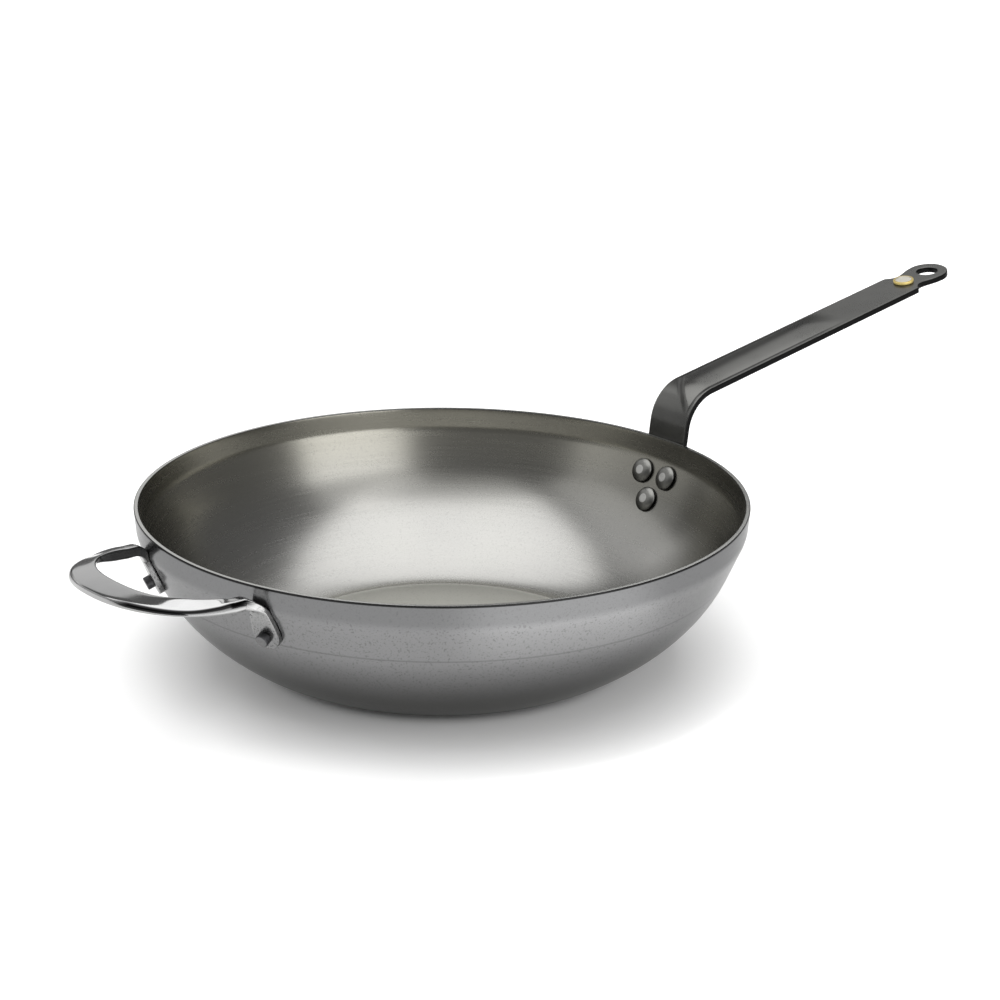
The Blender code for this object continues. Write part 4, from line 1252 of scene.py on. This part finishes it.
def make_floor():
    """The emission is painted light: a sum of steps over the distance from the pan's middle in
    metres, of a rise behind the pan, and of a painted patch of light on one side in front of it,
    where the bowl's wall mirrors it."""
    made, tree, shader = new_finish("floor_pale", 0.0, 0.85, (0.94, 0.94, 0.94))
    place = own_place(tree)
    tone = blend(tree, noise(tree, place, 3.0), (0.935, 0.935, 0.933), (0.945, 0.945, 0.943))
    feed(tree, shader.inputs["Base Color"], tone)
    distance = reckon_vector(tree, "LENGTH", place)
    behind = reckon_vector(tree, "DOT_PRODUCT", place, heading(CAMERA_AZIMUTH + math.pi))
    direction = reckon_vector(tree, "NORMALIZE", place, gives="Vector")
    beside = reckon_vector(tree, "DOT_PRODUCT", direction, heading(PAINTED_POOL_AZIMUTH))
    # Painted light: the floor's emission lifts the pan's shadow, and a patch of it in front
    # brightens the wall that mirrors it.
    far = reckon(tree, "MAXIMUM", ramp(tree, behind, 0.24, 1.6, 0.0, 0.8),
                 ramp(tree, distance, 0.9, 2.0, 0.0, 0.8))
    painted_pool = times(tree, ramp(tree, distance, 0.160, 0.195, 0.0, 0.7), ramp(tree, beside, 0.82, 0.97))
    painted_glow = reckon(tree, "ADD", ramp(tree, distance, 0.090, 0.104, 0.0, 0.14),
                  ramp(tree, distance, 0.145, 0.170, 0.0, 0.06))
    for part in (far, painted_pool):
        painted_glow = reckon(tree, "ADD", painted_glow, part)
    feed(tree, shader.inputs["Emission Color"], blend(tree, painted_glow, 0.0, (1.0, 1.0, 0.995)))
    shader.inputs["Emission Strength"].default_value = 1.0
    mesh = bpy.data.meshes.new("floor")
    corners = [(x * FLOOR_HALF, y * FLOOR_HALF, -FLOOR_DROP)
               for x, y in ((-1, -1), (1, -1), (1, 1), (-1, 1))]
    mesh.from_pydata(corners, [], [(0, 1, 2, 3)])
    mesh.materials.append(made)
    floor = bpy.data.objects.new("floor", mesh)
    bpy.context.scene.collection.objects.link(floor)


make_floor()

# %% Soft lights
# Places are metres to the camera's right, towards the camera and up from under the pan's centre.
# Each softbox has a place, the place it faces, a width, a height and a brightness.
PAN_MIDDLE = (0.0, 0.0, 0.04)
OVERHEAD_SHIFT = -0.04
OVERHEAD_HEIGHT = 1.6


def overhead(near, far, width, brightness):
    """A level softbox over the pan, from one distance towards the camera to another."""
    middle = (near + far) / 2
    place = (OVERHEAD_SHIFT, middle, OVERHEAD_HEIGHT)
    return place, (OVERHEAD_SHIFT, middle, 0.0), width, near - far, brightness


def around(azimuth, elevation, distance, half_wide, half_tall, brightness):
    """A softbox that stands round the pan and faces it: the azimuth grows from the camera to its
    right, and the size is given as half angles. All angles are degrees."""
    turned, lift = math.radians(azimuth), math.radians(elevation)
    out = distance * math.cos(lift)
    up = distance * math.sin(lift) + PAN_MIDDLE[2]
    place = (out * math.sin(turned), out * math.cos(turned), up)
    wide, tall = (2 * distance * math.tan(math.radians(half)) for half in (half_wide, half_tall))
    return place, PAN_MIDDLE, wide, tall, brightness


SOFTBOXES = {
    "overhead_near": overhead(1.6, 1.15, 2.0, 0.45),
    "overhead_edge": overhead(1.15, 0.8, 2.0, 1.0),
    "overhead": overhead(0.8, -0.29, 2.15, 2.55),
    "overhead_far": overhead(-0.29, -0.65, 2.15, 2.45),
    "overhead_end": overhead(-0.65, -1.18, 2.0, 2.3),
    "right_low": around(40, 9, 2.5, 21, 8, 2.4),
    "right_high": around(40, 27, 2.5, 21, 9, 2.25),
    "right_top": around(40, 44, 2.5, 20, 8, 0.9),
    "left_low": around(-90, 12, 2.5, 27, 10, 0.35),
    "left_high": around(-96, 36, 2.5, 33, 12, 0.8),
    "back_left": around(-140, 20, 2.5, 10, 13, 0.6),
    "back_high": around(162, 37, 2.6, 11, 13, 1.35),
    "back_middle": around(196, 22, 2.6, 14, 9, 0.76),
}


def studio_place(right, near, up):
    """Studio axes to the pan's own: two directions on the floor turned by the camera's azimuth."""
    cosine, sine = math.cos(CAMERA_AZIMUTH), math.sin(CAMERA_AZIMUTH)
    return np.array([near * cosine - right * sine, near * sine + right * cosine, up])


def softbox(name, place, aim, width, height, brightness):
    """A lamp's power is its brightness times pi times its area."""
    light = bpy.data.lights.new("softbox_" + name, "AREA")
    light.shape = "RECTANGLE"
    light.size, light.size_y = width, height
    light.energy = brightness * math.pi * width * height
    centre, target = studio_place(*place), studio_place(*aim)
    back = (centre - target) / np.linalg.norm(centre - target)
    upright = abs(back[2]) > 0.999
    sideways = studio_place(1.0, 0.0, 0.0) if upright else np.cross([0.0, 0.0, 1.0], back)
    sideways = sideways / np.linalg.norm(sideways)
    lamp = bpy.data.objects.new("softbox_" + name, light)
    turned = np.column_stack([sideways, np.cross(back, sideways), back, centre])
    lamp.matrix_world = Matrix([*turned.tolist(), [0.0, 0.0, 0.0, 1.0]])
    bpy.context.scene.collection.objects.link(lamp)


for label, values in SOFTBOXES.items():
    softbox(label, *values)
print(len(SOFTBOXES), "softboxes")

# %% Light from all round
SKY_STRENGTH = 0.2

world = bpy.data.worlds.new("studio")
bpy.context.scene.world = world
world.use_nodes = True
sky = world.node_tree.nodes["Background"]
sky.inputs["Color"].default_value = (1.0, 1.0, 1.0, 1.0)
sky.inputs["Strength"].default_value = SKY_STRENGTH

# %% Camera
CAMERA_PLACE = (-0.8091995, -0.9982994, 0.5204437)
CAMERA_RIGHT = (0.7638062, -0.6453926, 0.0082759)
CAMERA_UP = (0.2020704, 0.2512834, 0.9465855)
CAMERA_AHEAD = (0.6129989, 0.7213356, -0.3223466)
FOCAL_LENGTH = 93.6
SENSOR_WIDTH = 36.0
FAR_CLIP = 50.0


def make_camera():
    """The photograph's angle, as the camera's own axes written side by side."""
    lens = bpy.data.cameras.new("camera")
    lens.lens, lens.sensor_width = FOCAL_LENGTH, SENSOR_WIDTH
    lens.clip_end = FAR_CLIP
    camera = bpy.data.objects.new("camera", lens)
    back = [-value for value in CAMERA_AHEAD]
    rows = [list(row) for row in zip(CAMERA_RIGHT, CAMERA_UP, back, CAMERA_PLACE)]
    camera.matrix_world = Matrix(rows + [[0.0, 0.0, 0.0, 1.0]])
    bpy.context.scene.collection.objects.link(camera)
    bpy.context.scene.camera = camera


make_camera()
bpy.context.scene.view_settings.view_transform = "Standard"
